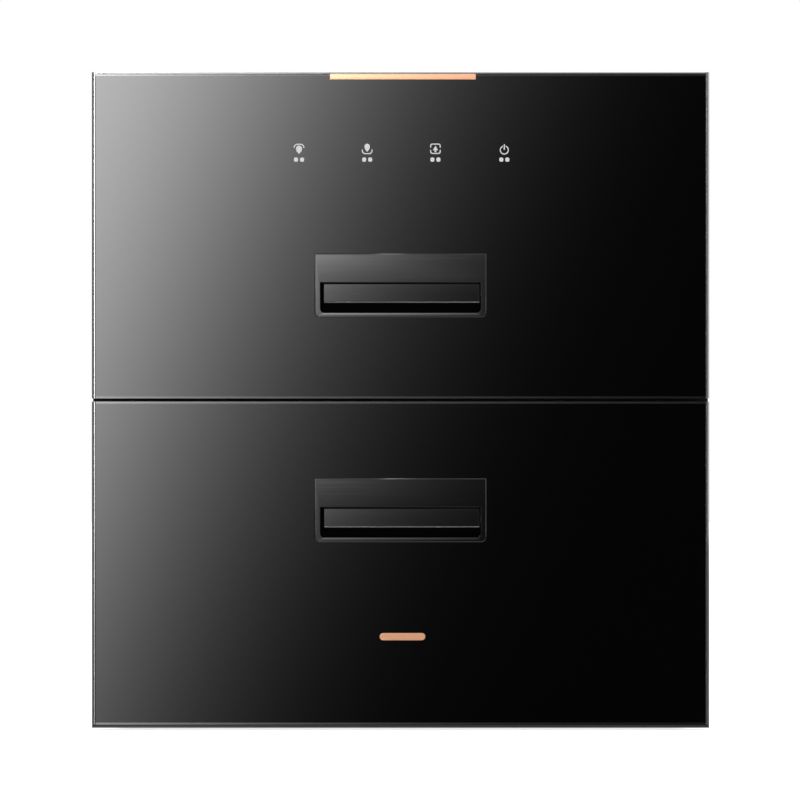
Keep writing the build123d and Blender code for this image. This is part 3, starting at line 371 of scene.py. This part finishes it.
# %% Mix the coatings and mouldings
def moulded(name, colour, roughness, cell=1500, tone=0.08, gloss=0.05, depth=0.00004, shine=0.5):
    """A coating or moulding with an even, fine surface of so many cells per metre."""
    material, shader = plain_finish(name, colour, 0.0, roughness, (cell, cell, cell), tone, gloss, depth)
    shader.inputs["Specular IOR Level"].default_value = shine
    return material


finishes["black_enamel"] = moulded("black_powder_coat", (0.006, 0.006, 0.0065), 0.42, 900, shine=0.3)
finishes["dark_enamel"] = moulded("dark_gloss_lacquer", (0.036, 0.036, 0.038), 0.10, 900, gloss=0.03,
                                  depth=0.000002)
finishes["grey_enamel"] = moulded("grey_powder_coat", (0.34, 0.35, 0.36), 0.45, 900, tone=0.03)
finishes["black_rubber"] = moulded("black_rubber_moulding", (0.020, 0.020, 0.021), 0.72, 600)
finishes["grey_silicone"] = moulded("grey_silicone_seal", (0.27, 0.27, 0.28), 0.60, 700, tone=0.05)
finishes["black_plastic"] = moulded("black_moulded_plastic", (0.024, 0.024, 0.026), 0.48, 2200)
finishes["ivory_plastic"] = moulded("ivory_moulded_plastic", (0.72, 0.69, 0.62), 0.46, 2200, tone=0.03)
finishes["white_ceramic"] = moulded("unglazed_ceramic", (0.80, 0.78, 0.72), 0.66, 1400, tone=0.04)


def wool_board():
    """Yellow glass wool under a thin binder, with long fibres."""
    material, shader = plain_finish(
        "glass_wool_board", (0.76, 0.66, 0.36), 0.0, 0.9, (90, 1400, 700), tone=0.22, gloss=0.04,
        depth=0.0006, detail=6.0)
    shader.inputs["Sheen Weight"].default_value = 0.3
    return material


def board_laminate():
    """Green solder mask over glass cloth, with the faint square weave showing through."""
    material, tree, shader, place = blank_finish("board_laminate")
    across = grain(tree, place, (1800, 60, 60), 2.0)
    along = grain(tree, place, (60, 60, 1800), 2.0)
    weave = maths(tree, "ADD", across, along)
    tree.links.new(tones(tree, between(tree, weave, 0.2, 0.8, (0.6, 1.4)),
                         (0.010, 0.085, 0.035), (0.020, 0.140, 0.060)), shader.inputs["Base Color"])
    shader.inputs["Roughness"].default_value = 0.35
    relief(tree, shader, weave, 0.00002)
    return material


def clear_tube(name, colour, roughness, clearness):
    """Glass of a lamp or a quartz tube: it lets most light through and its wall is a little milky."""
    material, shader = plain_finish(name, colour, 0.0, roughness, (30, 500, 500), tone=0.03, gloss=0.03)
    shader.inputs["Transmission Weight"].default_value = clearness
    shader.inputs["IOR"].default_value = 1.46
    return material


finishes["glass_wool"] = wool_board()
finishes["circuit_board"] = board_laminate()
finishes["frosted_quartz"] = clear_tube("frosted_quartz_tube", (0.88, 0.87, 0.84), 0.32, 0.55)
finishes["lamp_glass"] = clear_tube("lamp_tube_glass", (0.86, 0.90, 0.93), 0.10, 0.75)
print("finishes so far:", len(finishes))

# %% [markdown]
# ## Black glass
#
# The fronts are toughened glass, printed black behind. What shows is almost only the reflection at the
# polished face, four percent of what stands before it, over a colour that is nearly black. A very slight
# waviness from the toughening furnace keeps it from looking like a flat screen.

# %% Mix the black glass
def black_glass():
    """Polished glass over black print, with a slight furnace ripple and a trace of dust."""
    material, tree, shader, place = blank_finish("back_printed_black_glass")
    ripple = grain(tree, place, (9, 9, 9), 1.0)
    dust = grain(tree, place, (1500, 1500, 1500), 2.0)
    tree.links.new(tones(tree, dust, (0.0004, 0.0004, 0.0005), (0.0008, 0.0008, 0.0009)),
                   shader.inputs["Base Color"])
    tree.links.new(between(tree, dust, 0.012, 0.030), shader.inputs["Roughness"])
    shader.inputs["IOR"].default_value = 1.52
    relief(tree, shader, ripple, 0.00001, 0.3)
    return material


finishes["black_glass"] = black_glass()
ground_edge = moulded("ground_glass_edge", (0.006, 0.006, 0.006), 0.10, 2500, gloss=0.03, depth=0.000001)
key_print = moulded("fired_white_print", (0.56, 0.56, 0.57), 0.45, 3500, tone=0.03, depth=0.000004)
# Black plastic darkened to almost no reflectance for the pocket and the flap's pivot: partly their own
# black, partly painted shade of the recess behind the slot.
pocket_painted_shade = moulded("pocket_painted_shade", (0.002, 0.002, 0.002), 0.6, 2200, shine=0.12)
print("finishes:", len(finishes))

# %% [markdown]
# ## Give every measured node its finish
#
# The record says which finish each node has. The finish goes on the object's own material slot, so that
# the mesh itself stays as it was measured.

# %% Assign the finishes
for part in frame["record"]["subparts"]:
    piece = frame["nodes"][part["node"]]
    for place in piece.material_slots:
        place.link = "OBJECT"
        place.material = finishes[part["material_slot"]]


def dress(piece, slot, body, *replaced, material=None):
    """Gives a new piece its finish, its body and the nodes that it stands for."""
    piece.data.materials.clear()
    piece.data.materials.append(material or finishes[slot])
    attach(piece, body)
    if replaced:
        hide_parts(*replaced)
    return piece


# %% [markdown]
# ## Glass fronts
#
# Each front is a sheet of toughened glass whose long edges, top and bottom, are ground to a narrow slope.
# Ground glass is lighter than the printed face, and that pale line is what sets the two fronts apart in
# the photograph. The slope is made by cutting the block across near the edge and pushing the edge back,
# and the faces of the slope get a finish of their own.

# %% Model the glass fronts
slope_width, slope_depth = 2.0 * MM, 0.9 * MM
plate_width, plate_height, plate_proud = 166 * MM, 62 * MM, 1.5 * MM  # the handle plates
slot_width, slot_height, slot_above_edge = 155 * MM, 29.4 * MM, 4.7 * MM  # their slots
cutout_half_width, cutout_below_slot, cutout_above_slot_foot = 79.3 * MM, 1.8 * MM, 39.7 * MM
clear = 0.01  # how far a cutter reaches past the piece that it cuts
near = 1e-5  # close enough to count as the same place


def glass_front(level):
    """A glass front with both long edges ground and a cut-out for the handle's pocket."""
    low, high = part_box(f"{level}_glass")
    front = slab(f"{level}_glass_front", low, high)
    for cut in (low.z + slope_width, high.z - slope_width):
        only(front)
        bpy.ops.object.mode_set(mode="EDIT")
        bpy.ops.mesh.select_all(action="SELECT")
        bpy.ops.mesh.bisect(plane_co=(0, 0, cut), plane_no=(0, 0, 1))
        bpy.ops.object.mode_set(mode="OBJECT")
    pick_edges(front, lambda c, d: abs(d.x) > 0.9 and c.y < low.y + 1e-6
               and min(abs(c.z - low.z), abs(c.z - high.z)) < 1e-6)
    bpy.ops.transform.translate(value=(0, slope_depth, 0))
    bpy.ops.object.mode_set(mode="OBJECT")
    slot_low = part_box(f"{level}_handle_bezel")[1].z - plate_height + slot_above_edge
    carve(front, slab("front_cutter", (-cutout_half_width, low.y - clear, slot_low - cutout_below_slot),
                      (cutout_half_width, high.y + clear, slot_low + cutout_above_slot_foot)))
    polish(front, 15)
    dress(front, "black_glass", f"{level}_drawer", f"{level}_glass")
    front.data.materials.append(ground_edge)
    for face in front.data.polygons:
        if face.normal.y < -0.5 and abs(face.normal.z) > 0.1:
            face.material_index = 1
    return front


for level in ("upper", "lower"):
    front = glass_front(level)
    print(front.name, len(front.data.polygons), "faces")

# %% [markdown]
# ## Touch keys
#
# The keys are fired onto the glass in white, a few hundredths of a millimetre thick: an arch over a drop,
# a tray under a drop, a frame round an arrow, and the usual sign for power. Under each are two plain pips.
# Rings start as a flat rounded plate that is inset and opened, and a block carves away what isn't wanted.

# %% Model the touch keys
ink = 0.06 * MM  # thickness of the print
line = 1.0 * MM  # width of a drawn line
key_height = gap_middle + 242.3 * MM
key_places = (-98.0 * MM, -32.2 * MM, 33.7 * MM, 100.2 * MM)
pip_from_middle, pip_below_key = 2.9 * MM, 10.2 * MM


def thicken(piece):
    """Gives a flat print its thickness, towards the front."""
    only(piece)
    bpy.ops.object.mode_set(mode="EDIT")
    bpy.ops.mesh.select_all(action="SELECT")
    bpy.ops.mesh.extrude_region_move(TRANSFORM_OT_translate={"value": (0, -ink, 0)})
    bpy.ops.mesh.select_all(action="SELECT")
    bpy.ops.mesh.normals_make_consistent(inside=False)
    bpy.ops.object.mode_set(mode="OBJECT")
    return piece


def plate_shape(name, x, z, width, height, corner):
    """A flat plate with rounded corners, lying on the glass."""
    clear_selection()
    bpy.ops.mesh.primitive_plane_add(size=1, location=(x, glass_face, z),
                                     rotation=(math.radians(90), 0, 0))
    piece = bpy.context.object
    piece.name = name
    piece.scale = (width, height, 1)
    settle(piece)
    bpy.ops.object.mode_set(mode="EDIT")
    bpy.ops.mesh.select_all(action="SELECT")
    bpy.ops.mesh.bevel(offset=corner, segments=6, affect="VERTICES")
    bpy.ops.object.mode_set(mode="OBJECT")
    return piece


def frame_shape(name, x, z, width, height, corner):
    """An outline with rounded corners."""
    piece = plate_shape(name, x, z, width, height, corner)
    only(piece)
    bpy.ops.object.mode_set(mode="EDIT")
    bpy.ops.mesh.select_mode(type="FACE")
    bpy.ops.mesh.select_all(action="SELECT")
    bpy.ops.mesh.inset(thickness=line)
    bpy.ops.mesh.delete(type="FACE")
    bpy.ops.object.mode_set(mode="OBJECT")
    return thicken(piece)


def without(piece, x, z):
    """Carves a stretch of an outline away, between two X and two Z values."""
    return carve(piece, slab("print_cutter", (x[0], glass_face - clear, z[0]),
                             (x[1], glass_face + clear, z[1])))


def flat_disc(x, z, radius, corners):
    """A flat round or three-cornered plate on the glass."""
    clear_selection()
    bpy.ops.mesh.primitive_circle_add(vertices=corners, radius=radius, fill_type="NGON",
                                      location=(x, glass_face, z), rotation=(math.radians(90), 0, 0))
    return settle(bpy.context.object)


def drop_shape(name, x, z, radius, tip):
    """A round spot drawn out to a tip below."""
    piece = flat_disc(x, z, radius, 28)
    piece.name = name
    shoulder = z - radius * 0.25
    pick_points(piece, lambda point: point.z < shoulder - 1e-6)
    bpy.ops.transform.resize(value=(1, 1, (shoulder - z + tip) / (radius * 0.75)),
                             center_override=(x, glass_face, shoulder))
    bpy.ops.object.mode_set(mode="OBJECT")
    pick_points(piece, lambda point: point.z < (shoulder + z - tip) / 2)
    bpy.ops.transform.resize(value=(0.72, 1, 1), center_override=(x, glass_face, z))
    bpy.ops.object.mode_set(mode="OBJECT")
    return thicken(piece)


def arrow_shape(name, x, z):
    """An arrow that points up."""
    head = thicken(flat_disc(x, z, 2.9 * MM, 3))
    stem = thicken(plate_shape("arrow_stem", x, z - 2.4 * MM, 1.7 * MM, 1.8 * MM, 0.3 * MM))
    return weld(name, [head, stem])


def key_arch(x, z):
    """An arch over a drop."""
    arch = frame_shape("arch", x, z + 0.5 * MM, 10.4 * MM, 9.2 * MM, 3.6 * MM)
    return [without(arch, (x - clear, x + clear), (z - clear, z + 1.2 * MM)),
            drop_shape("arch_drop", x, z + 0.4 * MM, 2.9 * MM, 4.8 * MM)]


def key_tray(x, z):
    """A tray under a drop."""
    tray = frame_shape("tray", x, z - 0.4 * MM, 10.4 * MM, 9.2 * MM, 3.4 * MM)
    return [without(tray, (x - clear, x + clear), (z - 0.4 * MM, z + clear)),
            drop_shape("tray_drop", x, z + 2.6 * MM, 2.6 * MM, 5.0 * MM)]


def key_frame(x, z):
    """A frame, open in the middle of its sides, round an arrow."""
    square = frame_shape("frame", x, z + 0.3 * MM, 10.2 * MM, 10.0 * MM, 2.2 * MM)
    return [without(square, (x - clear, x + clear), (z - 0.8 * MM, z + 1.4 * MM)),
            arrow_shape("frame_arrow", x, z + 0.3 * MM)]


def key_power(x, z):
    """The usual sign for power: an open ring and a bar."""
    ring = frame_shape("power_ring", x, z - 0.9 * MM, 8.8 * MM, 8.8 * MM, 4.39 * MM)
    return [without(ring, (x - 1.4 * MM, x + 1.4 * MM), (z, z + clear)),
            thicken(plate_shape("power_bar", x, z + 1.9 * MM, 1.1 * MM, 5.6 * MM, 0.5 * MM))]


def pips(x, z):
    """Two plain dots under a key."""
    return [thicken(plate_shape("pip", x + side * pip_from_middle, z - pip_below_key,
                                3.9 * MM, 4.1 * MM, 1.4 * MM)) for side in (-1, 1)]


prints = []
for draw, place in zip((key_arch, key_tray, key_frame, key_power), key_places):
    prints += draw(place, key_height)
for place in key_places:
    prints += pips(place, key_height)
touch_keys = dress(weld("touch_key_prints", prints), "ivory_plastic", "upper_drawer", material=key_print)
print("touch keys:", len(touch_keys.data.polygons), "faces")

# %% [markdown]
# ## Handle plates
#
# Each handle is a dark brushed plate on the glass with a wide slot near its lower edge. Its rim is rolled,
# not sharp, and a thin bright line runs along the roll. The plate is cut from a block: the corners and the
# front edge are bevelled first, and the slot is carved out with a block whose lower corners are rounded.

# %% Model the handle plate and its pocket
plate_face = glass_face - plate_proud
pocket_depth, pocket_wall, pocket_headroom = 20.5 * MM, 1.5 * MM, 8.5 * MM


def handle_plate(level, top):
    """The plate with rounded lower corners, a rolled rim and a wide slot."""
    bottom = top - plate_height
    half = plate_width / 2
    plate = slab(f"{level}_handle_plate", (-half, plate_face, bottom), (half, glass_face, top))
    pick_edges(plate, lambda c, d: abs(d.y) > 0.9 and c.z < bottom + near)
    round_picked(5 * MM, 8)
    pick_edges(plate, lambda c, d: abs(d.y) < 0.1 and c.y < plate_face + near)
    round_picked(1.1 * MM, 4)
    slot_low = bottom + slot_above_edge
    cutter = slab("slot_cutter", (-slot_width / 2, glass_face - clear, slot_low),
                  (slot_width / 2, glass_face + clear, slot_low + slot_height))
    pick_edges(cutter, lambda c, d: abs(d.y) > 0.9 and c.z < slot_low + near)
    round_picked(4 * MM, 8)
    carve(plate, cutter)
    margin = 0.1 * MM
    pick_edges(plate, lambda c, d: abs(d.y) < 0.1 and c.y < plate_face + near
               and abs(c.x) < slot_width / 2 + margin
               and slot_low - margin < c.z < slot_low + slot_height + margin)
    round_picked(0.35 * MM, 2)
    return polish(plate)


def handle_pocket(level, top):
    """The deep-drawn cup behind the slot, open at the front."""
    slot_low = top - plate_height + slot_above_edge
    half = slot_width / 2 + pocket_wall
    cup = slab(f"{level}_handle_pocket", (-half, glass_face + 0.05 * MM, slot_low - pocket_wall),
               (half, glass_face + pocket_depth + pocket_wall,
                slot_low + slot_height + pocket_headroom + pocket_wall))
    pick_edges(cup, lambda c, d: c.y > glass_face + pocket_depth)
    round_picked(1.2 * MM, 3)
    hollow = slab("pocket_cutter", (-half + pocket_wall, glass_face - clear, slot_low),
                  (half - pocket_wall, glass_face + pocket_depth, slot_low + slot_height + pocket_headroom))
    pick_edges(hollow, lambda c, d: c.y > glass_face + pocket_depth - near)
    round_picked(2.5 * MM, 4)
    carve(cup, hollow)
    return polish(cup)


handle_tops = {"upper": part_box("upper_handle_bezel")[1].z, "lower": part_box("lower_handle_bezel")[1].z}
for level, top in handle_tops.items():
    dress(handle_plate(level, top), "dark_brushed", f"{level}_drawer", f"{level}_handle_bezel")
    # the pocket takes the darkened black, which paints the shade of the recess
    dress(handle_pocket(level, top), "black_plastic", f"{level}_drawer", material=pocket_painted_shade)
print("handle tops", handle_tops)

# %% [markdown]
# ## Pull flaps
#
# The flap hangs from pins at its top and leans forward to a rounded lower rim that catches the light, and a
# lighter copy of its steel on the rim's lower faces adds a painted highlight there. It starts as a block,
# its upper edge is pushed back to give it the lean, and its lower edges are bevelled until they make one
# round rim.
# A barrel along the top carries the pins.

# %% Model the pull flap
flap_left, flap_right = -73.8 * MM, 76.2 * MM
flap_height, flap_thickness, flap_lean = 18.7 * MM, 4.4 * MM, 1.9 * MM
flap_gap, flap_setback = 1.5 * MM, 1.2 * MM
flap_rim_radius, flap_taper = 2.15 * MM, 0.77
pivot_behind_plate, pivot_above_slot = 5.5 * MM, 3.5 * MM
hub_half, hub_radius, pin_half, pin_radius = 75 * MM, 2.5 * MM, 78.9 * MM, 1.5 * MM
neck_half_depth, neck_overlap = 1.6 * MM, 0.6 * MM


def pull_flap(level, slot_top):
    """The leaning blade with its rounded rim."""
    brow = slot_top - flap_gap
    rim, front = brow - flap_height, plate_face + flap_setback
    flap = slab(f"{level}_pull_flap", (flap_left, front, rim), (flap_right, front + flap_thickness, brow))
    pick_faces(flap, lambda c, n: n.z > 0.9)
    bpy.ops.transform.translate(value=(0, flap_lean, 0))
    bpy.ops.transform.resize(value=(1, flap_taper, 1),
                             center_override=(0, front + flap_lean + flap_thickness / 2, brow))
    bpy.ops.object.mode_set(mode="OBJECT")
    pick_edges(flap, lambda c, d: abs(d.x) > 0.9 and c.z < rim + near)
    round_picked(flap_rim_radius, 8)
    pick_edges(flap, lambda c, d: abs(d.x) > 0.9 and c.z > brow - near)
    round_picked(0.4 * MM, 2)
    pick_edges(flap, lambda c, d: c.x < flap_left + near or c.x > flap_right - near)
    round_picked(0.3 * MM, 2)
    return polish(flap)


def flap_pivot(level, slot_top):
    """The barrel above the blade, its two pins, and the neck between barrel and blade."""
    y, z = plate_face + pivot_behind_plate, slot_top + pivot_above_slot
    hub = barrel("flap_hub", (-hub_half, y, z), (hub_half, y, z), hub_radius, 24)
    pins = barrel("flap_pins", (-pin_half, y, z), (pin_half, y, z), pin_radius, 24)
    neck = slab("flap_neck", (-hub_half, y - neck_half_depth, slot_top - flap_gap - neck_overlap),
                (hub_half, y + neck_half_depth, z))
    return polish(weld(f"{level}_flap_pivot", [hub, pins, neck]))


for level, top in handle_tops.items():
    slot_top = top - plate_height + slot_above_edge + slot_height
    flap = dress(pull_flap(level, slot_top), "dark_brushed", f"{level}_pull_flap", f"{level}_flap")
    flap.data.materials.append(rim_highlight_metal)
    # the rim's downward-turned faces take the lighter copy, which paints a highlight along the roll
    for polygon in flap.data.polygons:
        if -0.95 < polygon.normal.z < -0.05:
            polygon.material_index = 1
    # the pivot inside the pocket takes the same darkened black, painted shade of the recess
    dress(flap_pivot(level, slot_top), "black_plastic", f"{level}_pull_flap", material=pocket_painted_shade)
    print(flap.name, len(flap.data.polygons), "faces")

# %% [markdown]
# ## Edge trims
#
# The bright edging has a crowned face, so it mirrors only a narrow line of the studio. Each bar is a block
# whose front edges are rounded, the outer one more than the inner one.

# %% Model the edge trims
trim_width, top_trim_height = 3.4 * MM, 1.3 * MM


def side_bar(side, low, high):
    """An upright bar at the left (-1) or the right (1), as deep as the measured edging."""
    outer, inner = side * high.x, side * (high.x - trim_width)
    bar = slab("side_bar", (min(outer, inner), low.y, low.z), (max(outer, inner), high.y, high.z))
    for x, radius in ((outer, 1.6 * MM), (inner, 0.7 * MM)):
        pick_edges(bar, lambda c, d: abs(d.z) > 0.9 and c.y < low.y + near and abs(c.x - x) < near)
        round_picked(radius, 6)
    return bar


def top_bar(low, high):
    """The narrow bar between the two upright ones, along the upper edge."""
    bar = slab("top_bar", (low.x + trim_width, low.y, high.z - top_trim_height),
               (high.x - trim_width, high.y, high.z))
    pick_edges(bar, lambda c, d: abs(d.x) > 0.9 and c.y < low.y + near and c.z > high.z - near)
    round_picked(0.8 * MM, 4)
    return bar


for level, source in (("upper", "upper_trim_frame"), ("lower", "lower_side_trims")):
    low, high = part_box(source)
    bars = [side_bar(side, low, high) for side in (-1, 1)]
    if level == "upper":
        bars.append(top_bar(low, high))
    trims = polish(weld(f"{level}_edge_trims", bars))
    dress(trims, "aluminium_trim", f"{level}_drawer", source)
    print(trims.name, len(trims.data.polygons), "faces")

# %% [markdown]
# ## Copper strip and copper bar
#
# Both ornaments are pressed from thin copper-coloured sheet, so their front edges are rolled. The strip
# lies along the top edge of the upper front, and a plain bar with round ends is on the lower one.

# %% Model the copper ornaments
strip_low, strip_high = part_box("copper_strip")
strip = slab("copper_top_strip", strip_low, strip_high)
pick_edges(strip, lambda c, d: c.y < strip_low.y + near)
round_picked(0.5 * MM, 4)
polish(strip)
dress(strip, "copper_finish", "upper_drawer", "copper_strip")

bar_low, bar_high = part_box("badge_bar")
bar = slab("copper_bar", bar_low, bar_high)
pick_edges(bar, lambda c, d: abs(d.y) > 0.9)
round_picked((bar_high.z - bar_low.z) / 2 * 0.98, 12)
pick_edges(bar, lambda c, d: c.y < bar_low.y + near)
round_picked(0.4 * MM, 3)
polish(bar)
dress(bar, "copper_finish", "lower_drawer", "badge_bar")
print("copper strip and bar:", len(strip.data.polygons), "and", len(bar.data.polygons), "faces")

# %% [markdown]
# ## The card behind the camera
#
# The glass mirrors whatever stands behind the camera. A graduated card there, bright at one upper corner
# and dark at the other, gives the fronts their slanting sheen. Only shiny surfaces see the card. Its light
# is worked out from what the glass should show, divided by the small share of light that glass mirrors.

# %% Set up the graduated card
scene = bpy.context.scene
card_distance = camera_distance + 1.2  # a little behind the camera
card_shift = 0.11  # the card ends just past the fronts' bright side, and reaches further on the dark side
fade_across, fade_down, fade_start = 1035.2, -450.3, 438.0  # steps per metre of glass, and at its middle
fade_rate, fade_bend = -0.00275, -0.00001275  # how the light falls with the steps
fade_end = -60.0  # no brighter than here
brightest, darkest = 0.47, 0.0007  # what the glass should show at step nought, and at its darkest
glass_mirrors = 0.0426


def only_mirrored(piece):
    """Hides a studio piece from everything but reflections."""
    for seen in ("camera", "diffuse", "transmission", "volume_scatter", "shadow"):
        setattr(piece, f"visible_{seen}", False)


def light_material(name):
    """An empty material and its node tree."""
    material = bpy.data.materials.new(name)
    material.use_nodes = True
    material.node_tree.nodes.clear()
    return material, material.node_tree


def shine_with(tree, strength):
    """Ends a material with white light of a strength that other nodes work out."""
    lamp = node(tree, "ShaderNodeEmission")
    tree.links.new(strength, lamp.inputs["Strength"])
    out = node(tree, "ShaderNodeOutputMaterial")
    tree.links.new(lamp.outputs["Emission"], out.inputs["Surface"])


def graduated_light():
    """Light that fades along a slanting line, from one upper corner to the other side."""
    material, tree = light_material("graduated_light")
    place = node(tree, "ShaderNodeTexCoord")
    split = node(tree, "ShaderNodeSeparateXYZ")
    tree.links.new(place.outputs["Object"], split.inputs["Vector"])
    reach = 1 + card_distance / camera_distance  # how much larger the card is than what the glass shows
    across = maths(tree, "MULTIPLY", maths(tree, "ADD", split.outputs["X"], card_shift), fade_across / reach)
    down = maths(tree, "MULTIPLY", split.outputs["Z"], fade_down / reach)
    way = maths(tree, "ADD", maths(tree, "ADD", across, down), fade_start)
    way = maths(tree, "MAXIMUM", way, fade_end)
    fade = maths(tree, "ADD", maths(tree, "MULTIPLY", way, fade_rate),
                 maths(tree, "MULTIPLY", maths(tree, "MULTIPLY", way, way), fade_bend))
    sheen = maths(tree, "ADD", maths(tree, "MULTIPLY", maths(tree, "EXPONENT", fade), brightest), darkest)
    shine_with(tree, maths(tree, "DIVIDE", sheen, glass_mirrors))
    return material


clear_selection()
bpy.ops.mesh.primitive_plane_add(
    size=1, location=(camera.location.x + card_shift, glass_face - card_distance, gap_middle),
    rotation=(math.radians(90), 0, 0))
card = bpy.context.object
card.name = "graduated_card"
card.scale = (1.6, 1.8, 1)
bpy.ops.object.transform_apply(location=False, rotation=True, scale=True)
only_mirrored(card)
card.data.materials.append(graduated_light())
print("graduated card", round(card_distance, 1), "m in front of the glass")

# %% [markdown]
# ## Cards for the slanting faces
#
# The ground edges, the rims and the leaning flaps look past the first card, up or down. Three more cards
# stand where these faces look, and their light fades to the right at a rate per metre as well.

# %% Set up the slanting cards
def slanting_card(name, angle, distance, size, strength, dimmer_across, brighter_up):
    """A card that faces the fronts from above or below the line of sight."""
    clear_selection()
    steep = math.radians(angle)
    bpy.ops.mesh.primitive_plane_add(
        size=1, location=(0, glass_face - distance * math.cos(steep),
                          gap_middle + distance * math.sin(steep)),
        rotation=(math.radians(90) - steep, 0, 0))
    piece = bpy.context.object
    piece.name = name
    piece.scale = (*size, 1)
    only_mirrored(piece)
    material, tree = light_material(name)
    place = node(tree, "ShaderNodeTexCoord")
    rates = node(tree, "ShaderNodeVectorMath", operation="DOT_PRODUCT")
    rates.inputs[1].default_value = (-dimmer_across * size[0], brighter_up * size[1], 0)
    tree.links.new(place.outputs["Object"], rates.inputs[0])
    fade = maths(tree, "EXPONENT", rates.outputs["Value"])
    shine_with(tree, maths(tree, "MULTIPLY", fade, strength))
    piece.data.materials.append(material)
    print(name, "at", angle, "degrees")


slanting_card("upper_card", 48, 6.0, (1.2, 1.5), 0.85, 5.8, 2.0)
slanting_card("lower_card", -48, 6.0, (1.2, 1.5), 0.80, 5.8, 0.8)
slanting_card("flap_card", 14.6, 13.47, (0.8, 1.4), 0.25, 6.7, 1.3)

# %% [markdown]
# ## The floor
#
# The floor is white for the camera and keeps the soft contact shadow. Shiny surfaces don't see it, because
# the fronts mirror the studio below the floor's level too.

# %% Lay the floor
floor_lift = 0.65  # light added to the floor where the camera sees it


def floor_finish():
    """White paint, with some light of its own for the camera."""
    material, tree = light_material("white_floor")
    paint = node(tree, "ShaderNodeBsdfDiffuse", Color=(0.86, 0.86, 0.86, 1))
    lift = node(tree, "ShaderNodeEmission", Color=(1, 1, 1, 1))
    seen = node(tree, "ShaderNodeLightPath")
    either = maths(tree, "MAXIMUM", seen.outputs["Is Camera Ray"], seen.outputs["Is Transmission Ray"])
    tree.links.new(maths(tree, "MULTIPLY", either, floor_lift), lift.inputs["Strength"])
    both = node(tree, "ShaderNodeAddShader")
    tree.links.new(paint.outputs[0], both.inputs[0])
    tree.links.new(lift.outputs[0], both.inputs[1])
    out = node(tree, "ShaderNodeOutputMaterial")
    tree.links.new(both.outputs[0], out.inputs["Surface"])
    return material


clear_selection()
bpy.ops.mesh.primitive_plane_add(size=40, location=(0, 0, 0))
floor = bpy.context.object
floor.name = "studio_floor"
floor.visible_glossy = False
floor.data.materials.append(floor_finish())
print("floor", round(floor.dimensions.x), "m wide")

# %% [markdown]
# ## The surroundings
#
# The camera sees plain white. Matt surfaces are lit more from above than from below. Shiny surfaces see a
# dim room that gets lighter towards the ceiling and the ground, with soft patches in it.

# %% Paint the surroundings
world = bpy.data.worlds.new("studio_world")
scene.world = world
world.use_nodes = True
tree = world.node_tree
tree.nodes.clear()
seen = node(tree, "ShaderNodeLightPath")
place = node(tree, "ShaderNodeTexCoord")
split = node(tree, "ShaderNodeSeparateXYZ")
tree.links.new(place.outputs["Generated"], split.inputs["Vector"])
white = node(tree, "ShaderNodeBackground", Color=(1, 1, 1, 1), Strength=1.0)

soft = node(tree, "ShaderNodeBackground", Color=(1, 1, 1, 1))
tree.links.new(between(tree, split.outputs["Z"], 0.35, 1.0, (-0.2, 0.9)), soft.inputs["Strength"])

steepness = maths(tree, "ABSOLUTE", split.outputs["Z"])
drift = node(tree, "ShaderNodeTexNoise", Scale=2.4, Detail=0.0)
tree.links.new(place.outputs["Generated"], drift.inputs["Vector"])
room = node(tree, "ShaderNodeBackground", Color=(1, 1, 1, 1))
tree.links.new(maths(tree, "MULTIPLY", between(tree, steepness, 0.10, 0.45, (0.02, 0.62)),
                     between(tree, drift.outputs["Fac"], 0.75, 1.9, (0.35, 0.65))), room.inputs["Strength"])


def either_light(ray, others, shown):
    """Picks what one kind of ray meets, and leaves the rest to the others."""
    choose = node(tree, "ShaderNodeMixShader")
    tree.links.new(seen.outputs[ray], choose.inputs["Fac"])
    tree.links.new(others, choose.inputs[1])
    tree.links.new(shown, choose.inputs[2])
    return choose.outputs[0]


light = either_light("Is Glossy Ray", soft.outputs[0], room.outputs[0])
light = either_light("Is Camera Ray", light, white.outputs[0])
out = node(tree, "ShaderNodeOutputWorld")
tree.links.new(light, out.inputs["Surface"])
print("surroundings:", len(tree.nodes), "nodes")

# %% [markdown]
# ## The lamps
#
# Three large soft boxes: a strong one from the upper left, a weak one from the right, and one behind that
# parts the back from the white.

# %% Hang the lamps
lamp_target = Vector((0, 0, 0.3))


def soft_lamp(name, place, size, watts):
    """A rectangular lamp at a place, turned towards the cabinet."""
    data = bpy.data.lights.new(name, "AREA")
    data.shape = "RECTANGLE"
    data.size, data.size_y = size
    data.energy = watts
    lamp = bpy.data.objects.new(name, data)
    scene.collection.objects.link(lamp)
    lamp.location = place
    lamp.rotation_euler = (lamp_target - Vector(place)).to_track_quat("-Z", "Y").to_euler()
    print(name, watts, "W")


soft_lamp("key_softbox", (-1.9, -2.2, 2.1), (2.2, 2.2), 48)
soft_lamp("fill_softbox", (2.3, -1.6, 1.2), (2.2, 2.2), 16)
soft_lamp("back_softbox", (0.6, 2.4, 2.0), (2.6, 1.8), 15)
